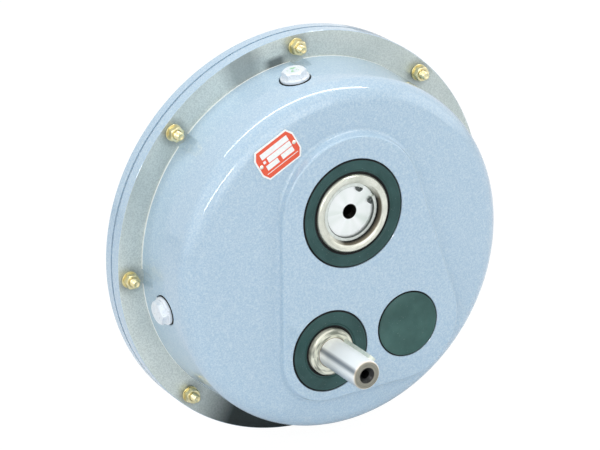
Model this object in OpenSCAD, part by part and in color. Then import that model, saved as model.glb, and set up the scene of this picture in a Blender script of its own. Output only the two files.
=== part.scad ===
// Shaft-mounted helical gear reducer: two cast casing halves bolted at a round flange,
// a hollow output shaft, an intermediate shaft and a keyed input shaft, all parallel.
// Pieces are drawn with +Z towards the input side and laid down at the end, so that
// the shafts run along Y, the input side faces -Y and +Z is up.

/* [Gear train] */
// Distance from output axis to intermediate axis
stage2_distance = 136; // [130:0.5:145]
// Angle of the intermediate axis from straight below the output axis
stage2_angle = 23.5; // [15:0.5:30]
// Distance from intermediate axis to input axis
stage1_distance = 84.4; // [82:0.2:95]
// Direction from intermediate axis to input axis
stage1_angle = 183.5; // [178:0.5:190]
// Teeth of the output wheel
output_teeth = 71; // [60:1:80]
// Teeth of the intermediate pinion
intermediate_pinion_teeth = 21; // [18:1:26]
// Teeth of the intermediate wheel
intermediate_wheel_teeth = 55; // [45:1:60]
// Teeth of the input pinion
input_pinion_teeth = 19; // [18:1:24]
// Face width of the output wheel
output_face = 40; // [30:1:44]
// Face width of the intermediate wheel
intermediate_face = 26; // [20:1:28]
// Extra face width of a pinion over its wheel
pinion_extra = 4; // [2:0.5:6]
// Helix angle at the pitch circle
helix = 12; // [0:1:20]
// Transverse pressure angle
pressure_angle = 20; // [18:0.5:25]
// Backlash at the pitch circle
backlash = 0.3; // [0.2:0.05:0.6]
// Thickness of the web of each wheel
web_t = 16; // [10:1:20]
// Holes in the web of the output wheel
web_hole_count = 6; // [4:1:8]
// Diameter of those holes
web_hole_d = 22; // [16:1:24]

/* [Casing] */
// Height of the output axis above the flange centre
output_rise = 50; // [44:0.5:54]
// Room between the wheel tips and the casing wall
gear_room = 6.5; // [5:0.5:12]
// Casing wall
wall = 8; // [6:0.5:10]
// Width of the bare flange ring outside the casing wall
flange_w = 24.5; // [22:0.5:32]
// Thickness of the front flange
front_flange_t = 12.5; // [8:0.5:16]
// Thickness of the rear flange
rear_flange_t = 11.5; // [8:0.5:16]
// Chamfer of the flange edges
flange_chamfer = 1; // [0.5:0.1:2]
// Depth of the front casing, joint to pad face
front_depth = 104.5; // [103:0.5:125]
// Depth of the rear casing, joint to pad face
rear_depth = 66; // [65:0.5:80]
// Draft of the cast side walls in degrees
draft = 2.5; // [1:0.5:4]
// Radius of the rounded shoulder
shoulder_r = 18; // [12:1:24]
// Rise of the domed faces from shoulder to centre
crown = 8; // [2:0.5:10]
// Height of the front pad above the top of the dome
front_pad_h = 4; // [2:0.5:8]
// Height of the rear pad above the top of the dome
rear_pad_h = 4; // [2:0.5:8]
// Slope of the pad flanks, in degrees from upright
pad_draft = 30; // [20:1:34]
// Pad width outside the output seal
output_pad_w = 21; // [12:0.5:23]
// Pad width outside the input seal
input_pad_w = 9; // [8:0.5:12]
// Pad width outside the intermediate cap
cap_pad_w = 22.5; // [10:0.5:23]
// Pad width outside the rear output seal
rear_pad_w = 16; // [8:0.5:24]
// Wall of the bearing bosses
boss_wall = 8; // [6:0.5:12]
// Thickness of the flange gasket
gasket_t = 0.8; // [0.4:0.1:2]
// How far the gasket stays behind the rim
gasket_inset = 0.8; // [0.2:0.1:2]

/* [Seals and cap] */
// Outer diameter of the output seals
output_seal_d = 105; // [102:0.5:108]
// Outer diameter of the input seal
input_seal_d = 80; // [72:0.5:82]
// Outer diameter of the intermediate cap
cap_d = 65; // [58:0.5:68]
// Width of the seals and of the cap
seal_t = 10; // [8:0.5:12]
// Shell of the cap and of the seal cases
seal_wall = 2.4; // [1.5:0.1:3]
// Running gap between seal lip and shaft
lip_gap = 0.3; // [0.2:0.05:0.5]
// Shoulder between a seal and its bearing
lip_t = 2.5; // [2:0.5:5]
// Height of that shoulder over the smaller of the two seats
lip_h = 5; // [4:0.5:6]

/* [Bearings] */
// Bore of the output bearings
output_bearing_bore = 75; // [70:1:76]
// Outer diameter of the output bearings
output_bearing_d = 115; // [110:1:120]
// Width of the output bearings
output_bearing_w = 20; // [18:0.5:21]
// Bore of the front input bearing
input_front_bore = 45; // [40:1:46]
// Outer diameter of the front input bearing
input_front_bearing_d = 85; // [80:1:88]
// Width of the front input bearing
input_front_bearing_w = 19; // [17:0.5:20]
// Bore of the rear input bearing
input_rear_bore = 35; // [30:1:35.5]
// Outer diameter of the rear input bearing
input_rear_bearing_d = 72; // [68:1:76]
// Width of the rear input bearing
input_rear_bearing_w = 17; // [15:0.5:19]
// Bore of the intermediate bearings
intermediate_bearing_bore = 30; // [25:1:35]
// Outer diameter of the intermediate bearings
intermediate_bearing_d = 72; // [68:1:76]
// Width of the intermediate bearings
intermediate_bearing_w = 19; // [17:0.5:21]
// Gap between the balls and their raceways
ball_gap = 0.15; // [0.1:0.05:0.25]
// Thickness of the ball cages
cage_t = 3; // [2:0.25:3.5]
// Rim of a cage on each side of its pockets
cage_rim = 1.1; // [0.8:0.1:1.5]

/* [Hollow output shaft] */
// Bore for the driven machine's shaft
hollow_bore_d = 55; // [45:1:58]
// Diameter of the seat of the output wheel
output_seat_d = 85; // [82:1:92]
// Diameter of the collar beside the output wheel
output_collar_d = 98; // [94:1:110]
// Width of that collar
output_collar_t = 8; // [5:0.5:12]
// Width of the spacer between output wheel and rear bearing
output_spacer_t = 8; // [5:0.5:12]
// Wall of that spacer
output_spacer_wall = 9; // [6:0.5:11]
// How far the hollow shaft stands out of the casing at each end
hollow_proud = 1; // [0.5:0.5:6]
// Width of the keyway in the bore
bore_keyway_w = 16; // [14:1:18]
// Depth of the keyway in the bore
bore_keyway_h = 4.3; // [3.3:0.1:4.9]
// Radial relief of the bore round the retaining disc
disc_relief = 0.3; // [0.1:0.1:1]
// Depth of the retaining disc behind the shaft's front end
disc_depth = 7.5; // [5:0.5:15]
// Thickness of the retaining disc
disc_t = 8; // [6:0.5:12]
// Tapping hole of the retaining disc
disc_hole_d = 14; // [10:0.5:18]
// Number of slots in the rim of the retaining disc
disc_slot_count = 6; // [4:1:6]
// Width of those slots
disc_slot_w = 6; // [4:0.5:8]
// Depth of those slots
disc_slot_h = 3; // [2:0.25:4]
// Thickness of the bore circlip
circlip_t = 2; // [1.5:0.25:3]
// Depth of the circlip groove
circlip_groove = 1.5; // [1:0.25:2]
// Radial width of the circlip
circlip_w = 4.6; // [3:0.2:6]
// Turn of the circlip's gap from the right, in degrees
circlip_turn = 39; // [0:1:90]
// Width of the key of the output wheel
output_key_w = 22; // [18:1:25]
// Height of that key
output_key_h = 9; // [8:0.5:11]
// Depth of that key in the shaft
output_key_t = 5.5; // [4.5:0.1:6.5]

/* [Intermediate shaft] */
// Diameter of the seat of the intermediate wheel
intermediate_seat_d = 42; // [38:1:46]
// Diameter of the collar between pinion and wheel
intermediate_collar_d = 50; // [47:1:54]
// Width of that collar
intermediate_collar_t = 8; // [5:0.5:12]
// Diameter of the shoulder beside the rear bearing
intermediate_shoulder_d = 40; // [36:1:44]
// Width of the key of the intermediate wheel
intermediate_key_w = 12; // [10:1:14]
// Height of that key
intermediate_key_h = 8; // [7:0.5:9]
// Depth of that key in the shaft
intermediate_key_t = 5; // [4:0.1:5.5]

/* [Input shaft] */
// Diameter of the input shaft end
input_d = 28; // [24:1:32]
// Length of the input shaft end
input_len = 60; // [50:1:80]
// How far the seal journal stands out of the casing
collar_proud = 4; // [2:0.5:8]
// Diameter of the shaft behind the pinion
input_body_d = 36; // [35.5:0.5:37]
// Diameter of the collar beside the rear bearing
input_collar_d = 42; // [40:1:46]
// Width of that collar
input_collar_t = 6; // [4:0.5:10]
// Diameter of the shoulder beside the front bearing
input_shoulder_d = 52; // [50:1:58]
// Width of the key of the input shaft end
input_key_w = 8; // [6:0.5:10]
// Height of that key
input_key_h = 7; // [6:0.5:8]
// Length of that key
input_key_len = 49; // [36:1:53]
// Depth of that key in the shaft
input_key_t = 4; // [3.5:0.1:5]
// Distance from the seal journal to the key
input_key_start = 3.5; // [2:0.5:6]
// Direction of the key round the shaft
input_key_angle = 40; // [0:5:90]
// Tapping hole in the shaft end
centre_hole_d = 8.5; // [6:0.5:10.5]
// Depth of that hole
centre_hole_depth = 26; // [18:1:34]
// Diameter of the countersink at its mouth
centre_mouth_d = 15; // [12:0.5:18]
// Chamfer of shaft ends
shaft_chamfer = 1.5; // [0.5:0.25:2.5]

/* [Fasteners] */
// Number of flange bolts
bolt_count = 8; // [6:1:12]
// Diameter of the flange bolts
bolt_d = 8; // [6:1:10]
// Distance from the rim to the bolt circle
bolt_inset = 11.5; // [10:0.5:14]
// Gap round the bolts in their holes
bolt_gap = 0.5; // [0.3:0.1:1]
// Radius of the spot face milled round each nut
spot_r = 15; // [13.5:0.5:16]
// Height to which the spot facing cutter bites the casing wall
spot_h = 20; // [10:1:24]
// Width across flats of bolt heads and nuts
hex_af = 13; // [12:0.5:15]
// Height of the nuts
nut_h = 6.8; // [5:0.2:8]
// Height of the bolt heads
head_h = 5.3; // [4:0.1:7]
// Diameter of the washers
washer_d = 16; // [15.5:0.5:18]
// Thickness of the washers
washer_t = 1.6; // [1:0.2:2.5]
// Length of thread standing out of the nuts
bolt_proud = 6.5; // [3:0.5:10]
// Diameter of the two dowel pins
dowel_d = 6; // [5:0.5:8]
// Distance from the rim to the dowel pins
dowel_inset = 9; // [8:0.5:12]
// Length of the dowel pins
dowel_len = 16; // [12:1:18]

/* [Oil plugs] */
// Distance of the plugs in front of the joint
plug_z = 48; // [44:1:56]
// Turn of the plugs from straight up, in degrees to the left
plug_turn = 7.5; // [0:0.5:14]
// Thread diameter of the plugs
plug_d = 20; // [16:1:22]
// Collar diameter of the plugs
plug_collar_d = 27; // [25:0.5:30]
// Collar thickness of the plugs
plug_collar_t = 3; // [2:0.5:4]
// Width across flats of the plug heads
plug_af = 20; // [17:0.5:22]
// Height of the plug heads over the collar
plug_head_h = 6; // [4:0.5:9]
// Thread length of the plugs
plug_len = 11; // [9:0.5:14]
// Thickness of the plug sealing rings
plug_ring_t = 1.8; // [1:0.2:2.5]
// Depth of the spot faces for the plugs
plug_seat = 2.2; // [1.8:0.1:3]
// Room round the plug collars in their spot faces
plug_room = 1.5; // [1:0.1:3]
// How far the sealing rings stand out round the collars
plug_ring_edge = 0.8; // [0.4:0.1:1]

/* [Nameplate] */
// Length of the plate
plate_l = 45; // [36:0.5:48]
// Height of the plate
plate_h = 31; // [24:0.5:33]
// Thickness of the plate
plate_t = 1; // [0.5:0.1:1.5]
// Corner cut of the plate along its length
plate_cut_l = 4.5; // [2:0.5:6]
// Corner cut of the plate along its height
plate_cut_h = 7; // [3:0.5:9]
// Direction of the plate from the flange centre, to the left of straight up
plate_turn = 30; // [25:0.5:34]
// Gap between the plate and the foot of the front pad
plate_gap = 0.3; // [0.2:0.1:1]
// How far the plate is turned back towards level, in degrees
plate_skew = 4.5; // [0:0.5:6]
// Distance between the two rivets
rivet_pitch = 37.8; // [30:0.2:40]
// Head diameter of the rivets
rivet_d = 4; // [3:0.2:5]

/* [Hidden] */
$fn = 96;
paint = [0.72, 0.80, 0.87];
steel = [0.75, 0.76, 0.76];
bright = [0.85, 0.86, 0.87];
yellow_zinc = [0.86, 0.78, 0.45];
white_zinc = [0.86, 0.89, 0.92];
rubber = [0.22, 0.32, 0.30];
black = [0.08, 0.08, 0.08];
plate_red = [0.90, 0.37, 0.24];
brass = [0.80, 0.65, 0.35];
cut = 1;               // overshoot of cutting tools
fit_gap = 0.02;        // gap of pressed and keyed seats
shoulder_turn = 84;    // turn of a rounded shoulder, up to the slope of the dome
arc_steps = 10;        // steps of a rounded shoulder
dome_steps = 8;        // steps of a domed face

// Bearings: bore, outer diameter and width
output_bearing = [output_bearing_bore, output_bearing_d, output_bearing_w];
input_front_bearing = [input_front_bore, input_front_bearing_d, input_front_bearing_w];
input_rear_bearing = [input_rear_bore, input_rear_bearing_d, input_rear_bearing_w];
intermediate_bearing = [intermediate_bearing_bore, intermediate_bearing_d, intermediate_bearing_w];

// Shaft axes
output_at = [0, 0];
flange_at = [0, -output_rise];
intermediate_at = stage2_distance * [sin(stage2_angle), -cos(stage2_angle)];
input_at = intermediate_at + stage1_distance * [cos(stage1_angle), sin(stage1_angle)];

// Gears: transverse modules, pitch, tip and root radii
module2 = 2 * stage2_distance / (output_teeth + intermediate_pinion_teeth);
module1 = 2 * stage1_distance / (intermediate_wheel_teeth + input_pinion_teeth);
function tip_r(m, teeth) = m * (teeth / 2 + 1);
function root_r(m, teeth) = m * (teeth / 2 - 1.25);

// Casing radii
gear_reach = max(
    output_rise + tip_r(module2, output_teeth),
    norm(intermediate_at - flange_at) + tip_r(module1, intermediate_wheel_teeth)
);
body_r = gear_reach + gear_room + wall;
flange_r = body_r + flange_w;
bolt_circle_r = flange_r - bolt_inset;
front_top = front_depth - front_pad_h;
pad_base_h = shoulder_r + crown + front_pad_h;
rear_top = rear_depth - rear_pad_h;

// Stations along the shafts, counted from the joint towards the input side
front_stop = front_depth - seal_t - lip_t;
rear_stop = -(rear_depth - seal_t - lip_t);
wheel2_z0 = rear_stop + output_bearing[2] + output_spacer_t;
wheel2_z1 = wheel2_z0 + output_face;
pinion2_z0 = wheel2_z0 - pinion_extra / 2;
pinion2_z1 = wheel2_z1 + pinion_extra / 2;
wheel1_z0 = pinion2_z1 + intermediate_collar_t;
wheel1_z1 = wheel1_z0 + intermediate_face;
pinion1_z0 = wheel1_z0 - pinion_extra / 2;
pinion1_z1 = wheel1_z1 + pinion_extra / 2;
front_end = front_depth + hollow_proud;
rear_end = -rear_depth - hollow_proud;
disc_front = front_end - disc_depth;
journal_end = front_depth + collar_proud;
input_end = journal_end + input_len;
input_journal_d = input_front_bearing[0];
washer_z = front_flange_t;
nut_z = washer_z + washer_t;
bolt_end = nut_z + nut_h + bolt_proud;

// Distance of the nameplate from the flange centre, clear of the foot of the pad
pad_foot_r = output_seal_d / 2 + output_pad_w + (crown + front_pad_h) * tan(pad_draft);
plate_reach = output_rise * cos(plate_turn) + pad_foot_r + plate_gap + plate_h / 2;

// Turns a piece drawn with +Z towards the input side into its place
module laid() {
    rotate([90, 0, 0]) children();
}

module at(p, z = 0) {
    translate([p[0], p[1], z]) children();
}

module tube(r, bore_r, h) {
    difference() {
        cylinder(r = r, h = h);
        translate([0, 0, -cut]) cylinder(r = bore_r, h = h + 2 * cut);
    }
}

// A shaft step between two stations
module step(r, z0, z1) {
    translate([0, 0, z0]) cylinder(r = r, h = z1 - z0);
}

// A shaft end with a chamfer on its outer side, pointing to +Z when up is 1
module end_step(r, z0, z1, up) {
    c = shaft_chamfer;
    body0 = up > 0 ? z0 : z0 + c;
    translate([0, 0, body0]) cylinder(r = r, h = z1 - z0 - c);
    if (up > 0) translate([0, 0, z1 - c]) cylinder(r1 = r, r2 = r - c, h = c);
    if (up < 0) translate([0, 0, z0]) cylinder(r1 = r - c, r2 = r, h = c);
}

// ---- Gears -----------------------------------------------------------------

function involute(a) = tan(a) * 180 / PI - a;

// Half of the tooth's angle at radius r
function half_tooth(m, teeth, r) =
    let (pitch_r = m * teeth / 2)
    let (base_r = pitch_r * cos(pressure_angle))
    let (at_pitch = 90 / teeth - backlash / 4 / pitch_r * 180 / PI)
    at_pitch + involute(pressure_angle) - involute(acos(min(1, base_r / r)));

// Radii at which one flank is drawn, root first
function flank_radii(m, teeth) =
    let (base_r = m * teeth / 2 * cos(pressure_angle))
    let (root = root_r(m, teeth), tip = tip_r(m, teeth), start = max(root, base_r))
    root < base_r ? [root, start, (start + tip) / 2, tip] : [root, (root + tip) / 2, tip];

function tooth_points(m, teeth, turn) =
    let (radii = flank_radii(m, teeth), n = len(radii))
    [for (i = [0 : 2 * n - 1])
        let (up = i < n, r = radii[up ? i : 2 * n - 1 - i])
        let (a = turn + (up ? -1 : 1) * half_tooth(m, teeth, r))
        r * [cos(a), sin(a)]];

// Helical teeth between two stations; hand is 1 or -1
module helical_teeth(m, teeth, z0, z1, hand, slices) {
    pitch_r = m * teeth / 2;
    turn = hand * (z1 - z0) * tan(helix) / pitch_r * 180 / PI;
    outline = [for (t = [0 : teeth - 1]) each tooth_points(m, teeth, t * 360 / teeth)];
    translate([0, 0, (z0 + z1) / 2])
        rotate([0, 0, turn / 2])
            linear_extrude(height = z1 - z0, center = true, twist = turn, slices = slices)
                polygon(outline);
}

// Recesses on both sides of a wheel, leaving rim, web and hub
module wheel_recesses(rim_r, hub_r, z0, z1) {
    depth = (z1 - z0 - web_t) / 2;
    for (z = [z0 - cut, z1 - depth])
        translate([0, 0, z])
            difference() {
                cylinder(r = rim_r, h = depth + cut);
                translate([0, 0, -cut]) cylinder(r = hub_r, h = depth + 3 * cut);
            }
}

module web_holes(count, hole_r, ring_r, z0, z1) {
    for (i = [0 : count - 1])
        rotate([0, 0, i * 360 / count])
            translate([ring_r, 0, z0 - cut])
                cylinder(r = hole_r, h = z1 - z0 + 2 * cut);
}

// ---- Bearings --------------------------------------------------------------

function pitch_radius(b) = (b[0] + b[1]) / 4;
function ball_r(b) = 0.15 * (b[1] - b[0]);
function ball_count(b) = floor(2 * PI * pitch_radius(b) / (3.2 * ball_r(b)));
function land_h(b) = 0.56 * ball_r(b);

// Raceway cut, as a ring round the bearing's middle plane
module raceway(b) {
    rotate_extrude()
        translate([pitch_radius(b), b[2] / 2])
            circle(r = ball_r(b) + ball_gap, $fn = 48);
}

module outer_ring(b) {
    difference() {
        tube(b[1] / 2 - fit_gap, pitch_radius(b) + land_h(b), b[2]);
        raceway(b);
    }
}

module inner_ring(b) {
    difference() {
        tube(pitch_radius(b) - land_h(b), b[0] / 2 + fit_gap, b[2]);
        raceway(b);
    }
}

module ball_set(b) {
    for (i = [0 : ball_count(b) - 1])
        rotate([0, 0, i * 360 / ball_count(b)])
            translate([pitch_radius(b), 0, b[2] / 2])
                sphere(r = ball_r(b), $fn = 32);
}

// Ring with a drilled pocket for each ball
module cage(b) {
    pocket_r = ball_r(b) + 2 * ball_gap;
    width = 2 * (pocket_r + cage_rim);
    inner = pitch_radius(b) - cage_t / 2;
    difference() {
        translate([0, 0, (b[2] - width) / 2]) tube(inner + cage_t, inner, width);
        for (i = [0 : ball_count(b) - 1])
            rotate([0, 0, i * 360 / ball_count(b)])
                translate([inner - cut, 0, b[2] / 2])
                    rotate([0, 90, 0])
                        cylinder(r = pocket_r, h = cage_t + 2 * cut, $fn = 32);
    }
}

// ---- Casing ----------------------------------------------------------------

function wall_radius(z, flange_t) = body_r - (z - flange_t) * tan(draft);

// Where the shoulder's arc runs into the dome, at the dome's own slope
function dome_radius(top, flange_t) =
    wall_radius(top - crown - shoulder_r * sin(shoulder_turn), flange_t)
    - shoulder_r * (1 - cos(shoulder_turn));

// Half section of one cast half, from its centre line to its wall, shrunk by inset
function half_section(top, flange_t, inset) =
    let (edge = top - crown)
    let (r = shoulder_r - inset, arc_z = edge - shoulder_r * sin(shoulder_turn))
    let (arc_r = wall_radius(arc_z, flange_t) - shoulder_r)
    concat(
        [[0, 0], [body_r - inset, 0], [body_r - inset, flange_t]],
        [for (i = [0 : arc_steps])
            let (a = shoulder_turn * i / arc_steps)
            [arc_r + r * cos(a), arc_z + r * sin(a)]],
        [for (i = [dome_steps - 1 : -1 : 0])
            let (u = i / dome_steps)
            [dome_radius(top, flange_t) * u, edge - inset + crown * (1 - u * u)]]
    );

module cast_form(top, flange_t, inset) {
    at(flange_at) rotate_extrude($fn = 180) polygon(half_section(top, flange_t, inset));
}

module flange_plate(t) {
    at(flange_at) {
        c = flange_chamfer;
        cylinder(r = flange_r, h = t - c, $fn = 180);
        translate([0, 0, t - c]) cylinder(r1 = flange_r, r2 = flange_r - c, h = c, $fn = 180);
    }
}

// Places its children at each bolt of the flange
module at_bolts() {
    for (i = [0 : bolt_count - 1])
        at(flange_at)
            rotate([0, 0, 90 + i * 360 / bolt_count]) translate([bolt_circle_r, 0, 0]) children();
}

module at_dowels() {
    for (side = [1, -1])
        at(flange_at)
            rotate([0, 0, side * 90 + 180 / bolt_count])
                translate([flange_r - dowel_inset, 0, 0]) children();
}

// Places its children on the side wall, with +Z pointing outwards
module at_plug(turn) {
    seat_r = wall_radius(plug_z, front_flange_t) - plug_seat;
    at(flange_at, plug_z)
        rotate([0, 0, plug_turn + turn]) rotate([-90, 0, 0]) translate([0, 0, seat_r]) children();
}

// Stepped bore for a bearing, its shoulder and what closes it
module stepped_bore(bearing_d, seat_d, stop, depth) {
    cylinder(r = bearing_d / 2, h = stop);
    cylinder(r = min(bearing_d, seat_d) / 2 - lip_h, h = depth);
    translate([0, 0, stop + lip_t]) cylinder(r = seat_d / 2, h = depth);
}

module front_pad() {
    spread = pad_base_h * tan(pad_draft);
    hull() {
        for (lobe = [
            [output_at, output_seal_d / 2 + output_pad_w],
            [input_at, input_seal_d / 2 + input_pad_w],
            [intermediate_at, cap_d / 2 + cap_pad_w]
        ])
            at(lobe[0], front_depth - pad_base_h)
                cylinder(r1 = lobe[1] + spread, r2 = lobe[1], h = pad_base_h, $fn = 64);
    }
}

module front_bosses() {
    at(output_at, front_stop - output_bearing[2])
        cylinder(r = output_bearing[1] / 2 + boss_wall, h = front_depth);
    at(input_at, front_stop - input_front_bearing[2])
        cylinder(r = input_front_bearing[1] / 2 + boss_wall, h = front_depth);
    at(intermediate_at, front_stop - intermediate_bearing[2])
        cylinder(r = intermediate_bearing[1] / 2 + boss_wall, h = front_depth);
}

module front_casing() {
    color(paint) laid() difference() {
        union() {
            cast_form(front_top, front_flange_t, 0);
            flange_plate(front_flange_t);
            front_pad();
        }
        difference() {
            cast_form(front_top, front_flange_t, wall);
            front_bosses();
        }
        at(output_at) stepped_bore(output_bearing[1], output_seal_d, front_stop, front_depth + cut);
        at(input_at) stepped_bore(input_front_bearing[1], input_seal_d, front_stop, front_depth + cut);
        at(intermediate_at) stepped_bore(intermediate_bearing[1], cap_d, front_stop, front_depth + cut);
        at(flange_at, -cut) cylinder(r = flange_r + cut, h = cut + gasket_t / 2, $fn = 180);
        at_bolts() cylinder(r = bolt_d / 2 + bolt_gap, h = front_flange_t + cut);
        at_bolts() translate([0, 0, front_flange_t]) cylinder(r = spot_r, h = spot_h);
        at_dowels() cylinder(r = dowel_d / 2 + fit_gap, h = dowel_len / 2 + cut);
        for (turn = [0, 90, 180])
            at_plug(turn) {
                cylinder(r = plug_collar_d / 2 + plug_room, h = wall);
                translate([0, 0, -2 * wall]) cylinder(r = plug_d / 2 + fit_gap, h = 2 * wall + cut);
            }
    }
}

module rear_bosses() {
    at(output_at, -rear_stop - output_bearing[2])
        cylinder(r = output_bearing[1] / 2 + boss_wall, h = rear_depth);
    at(input_at, -rear_stop - input_rear_bearing[2])
        cylinder(r = input_rear_bearing[1] / 2 + boss_wall, h = rear_depth);
    at(intermediate_at, -rear_stop - intermediate_bearing[2])
        cylinder(r = intermediate_bearing[1] / 2 + boss_wall, h = rear_depth);
}

module rear_casing() {
    color(paint) laid() mirror([0, 0, 1]) difference() {
        union() {
            cast_form(rear_top, rear_flange_t, 0);
            flange_plate(rear_flange_t);
            at(output_at, rear_top - crown)
                cylinder(
                    r1 = output_seal_d / 2 + rear_pad_w + (crown + rear_pad_h) * tan(pad_draft),
                    r2 = output_seal_d / 2 + rear_pad_w,
                    h = crown + rear_pad_h
                );
        }
        difference() {
            cast_form(rear_top, rear_flange_t, wall);
            rear_bosses();
        }
        at(output_at) stepped_bore(output_bearing[1], output_seal_d, -rear_stop, rear_depth + cut);
        at(input_at) cylinder(r = input_rear_bearing[1] / 2, h = -rear_stop);
        at(intermediate_at) cylinder(r = intermediate_bearing[1] / 2, h = -rear_stop);
        at(flange_at, -cut) cylinder(r = flange_r + cut, h = cut + gasket_t / 2, $fn = 180);
        at_bolts() cylinder(r = bolt_d / 2 + bolt_gap, h = rear_flange_t + cut);
        at_bolts() translate([0, 0, rear_flange_t]) cylinder(r = spot_r, h = spot_h);
        at_dowels() cylinder(r = dowel_d / 2 + fit_gap, h = dowel_len / 2 + cut);
    }
}

module casing_gasket() {
    color(black) laid() difference() {
        at(flange_at, -gasket_t / 2) tube(flange_r - gasket_inset, body_r - wall, gasket_t, $fn = 180);
        at_bolts() translate([0, 0, -cut]) cylinder(r = bolt_d / 2 + bolt_gap, h = 2 * cut + gasket_t);
        at_dowels() translate([0, 0, -cut]) cylinder(r = dowel_d / 2 + fit_gap, h = 2 * cut + gasket_t);
    }
}

// ---- Fasteners and plugs ---------------------------------------------------

// Hexagon with its corners bevelled on the +Z side
module hex(af, h, bevel = 0.6) {
    corner_r = af / 2 / cos(30);
    intersection() {
        cylinder(r = corner_r, h = h, $fn = 6);
        union() {
            cylinder(r = corner_r + cut, h = h - bevel);
            translate([0, 0, h - bevel])
                cylinder(r1 = corner_r + 0.1, r2 = corner_r + 0.1 - 2 * bevel, h = bevel);
        }
    }
}

module flange_bolts() {
    color(yellow_zinc) laid() at_bolts() {
        translate([0, 0, -rear_flange_t]) mirror([0, 0, 1]) hex(hex_af, head_h);
        translate([0, 0, -rear_flange_t]) cylinder(r = bolt_d / 2, h = rear_flange_t + bolt_end - 1);
        translate([0, 0, bolt_end - 1]) cylinder(r1 = bolt_d / 2, r2 = bolt_d / 2 - 1, h = 1);
    }
}

module flange_nuts() {
    color(yellow_zinc) laid() at_bolts() translate([0, 0, nut_z]) difference() {
        hex(hex_af, nut_h);
        translate([0, 0, -cut]) cylinder(r = bolt_d / 2 + fit_gap, h = nut_h + 2 * cut);
    }
}

module flange_washers() {
    color(yellow_zinc) laid() at_bolts()
        translate([0, 0, washer_z]) tube(washer_d / 2, bolt_d / 2 + bolt_gap, washer_t);
}

module dowel_pins() {
    color(bright) laid() at_dowels()
        translate([0, 0, -dowel_len / 2]) cylinder(r = dowel_d / 2, h = dowel_len);
}

// Collared hexagon plug, with its collar above the sealing ring
module oil_plug(turn) {
    color(white_zinc) laid() at_plug(turn) {
        translate([0, 0, plug_ring_t - plug_len]) cylinder(r = plug_d / 2, h = plug_len);
        translate([0, 0, plug_ring_t]) {
            cylinder(r = plug_collar_d / 2, h = plug_collar_t);
            translate([0, 0, plug_collar_t]) hex(plug_af, plug_head_h, 1);
        }
    }
}

module filler_plug() {
    oil_plug(0);
}

module level_plug() {
    oil_plug(90);
}

module drain_plug() {
    oil_plug(180);
}

module plug_sealing_rings() {
    color(black) laid()
        for (turn = [0, 90, 180])
            at_plug(turn) tube(plug_collar_d / 2 + plug_ring_edge, plug_d / 2 + fit_gap, plug_ring_t);
}

// Places its children on the domed face, upright to it, at the middle of the plate
module at_plate() {
    edge_z = front_top - crown;
    dome_r = dome_radius(front_top, front_flange_t);
    seat_z = edge_z + crown * (1 - pow(plate_reach / dome_r, 2));
    slope = atan(2 * crown * plate_reach / pow(dome_r, 2));
    at(flange_at)
        rotate([0, 0, plate_turn])
            translate([0, plate_reach, seat_z])
                rotate([-slope, 0, 0]) rotate([0, 0, -plate_skew]) children();
}

module nameplate() {
    l = plate_l / 2;
    h = plate_h / 2;
    cx = l - plate_cut_l;
    cy = h - plate_cut_h;
    color(plate_red) laid() at_plate() difference() {
        linear_extrude(plate_t)
            polygon([[cx, h], [-cx, h], [-l, cy], [-l, -cy], [-cx, -h], [cx, -h], [l, -cy], [l, cy]]);
        for (side = [1, -1])
            translate([side * rivet_pitch / 2, 0, -cut]) cylinder(r = rivet_d / 4, h = plate_t + 2 * cut);
    }
}

module nameplate_rivets() {
    color(steel) laid() at_plate()
        for (side = [1, -1])
            translate([side * rivet_pitch / 2, 0, 0]) {
                cylinder(r = rivet_d / 4 - fit_gap, h = plate_t);
                translate([0, 0, plate_t]) cylinder(r1 = rivet_d / 2, r2 = rivet_d / 4, h = rivet_d / 4);
            }
}

// ---- Seals and cap ---------------------------------------------------------

// Radial shaft seal, its flat face at height seal_t
module shaft_seal(seal_d, shaft_d) {
    outer = seal_d / 2 - fit_gap;
    lip = shaft_d / 2 + lip_gap;
    t = seal_t;
    w = seal_wall;
    rotate_extrude() polygon([
        [outer, 0], [outer, t], [lip + 1, t], [lip, t - 1], [lip, t - w], [lip + w, t - w - 0.5],
        [lip + 0.6 * w, 0.45 * t], [lip, 0.35 * t], [lip + w, 0.15 * t], [lip + 1.8 * w, 0.4 * t],
        [lip + 2 * w, t - w], [outer - w, t - w], [outer - w, 0]
    ]);
}

module output_seal_front() {
    color(rubber) laid() at(output_at, front_depth - seal_t) shaft_seal(output_seal_d, output_bearing[0]);
}

module output_seal_rear() {
    color(rubber) laid() mirror([0, 0, 1])
        at(output_at, rear_depth - seal_t) shaft_seal(output_seal_d, output_bearing[0]);
}

module input_seal() {
    color(rubber) laid() at(input_at, front_depth - seal_t) shaft_seal(input_seal_d, input_journal_d);
}

module intermediate_cap() {
    r = cap_d / 2 - fit_gap;
    bevel = 0.8;
    color(rubber) laid() at(intermediate_at, front_depth - seal_t) rotate_extrude() polygon([
        [0, seal_t - seal_wall], [0, seal_t], [r - bevel, seal_t], [r, seal_t - bevel],
        [r, 0], [r - seal_wall, 0], [r - seal_wall, seal_t - seal_wall]
    ]);
}

// ---- Bearing stations ------------------------------------------------------

module at_output_front(finish = bright) {
    color(finish) laid() at(output_at, front_stop - output_bearing[2]) children();
}

module at_output_rear(finish = bright) {
    color(finish) laid() at(output_at, rear_stop) children();
}

module at_intermediate_front(finish = bright) {
    color(finish) laid() at(intermediate_at, front_stop - intermediate_bearing[2]) children();
}

module at_intermediate_rear(finish = bright) {
    color(finish) laid() at(intermediate_at, rear_stop) children();
}

module at_input_front(finish = bright) {
    color(finish) laid() at(input_at, front_stop - input_front_bearing[2]) children();
}

module at_input_rear(finish = bright) {
    color(finish) laid() at(input_at, rear_stop) children();
}

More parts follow.
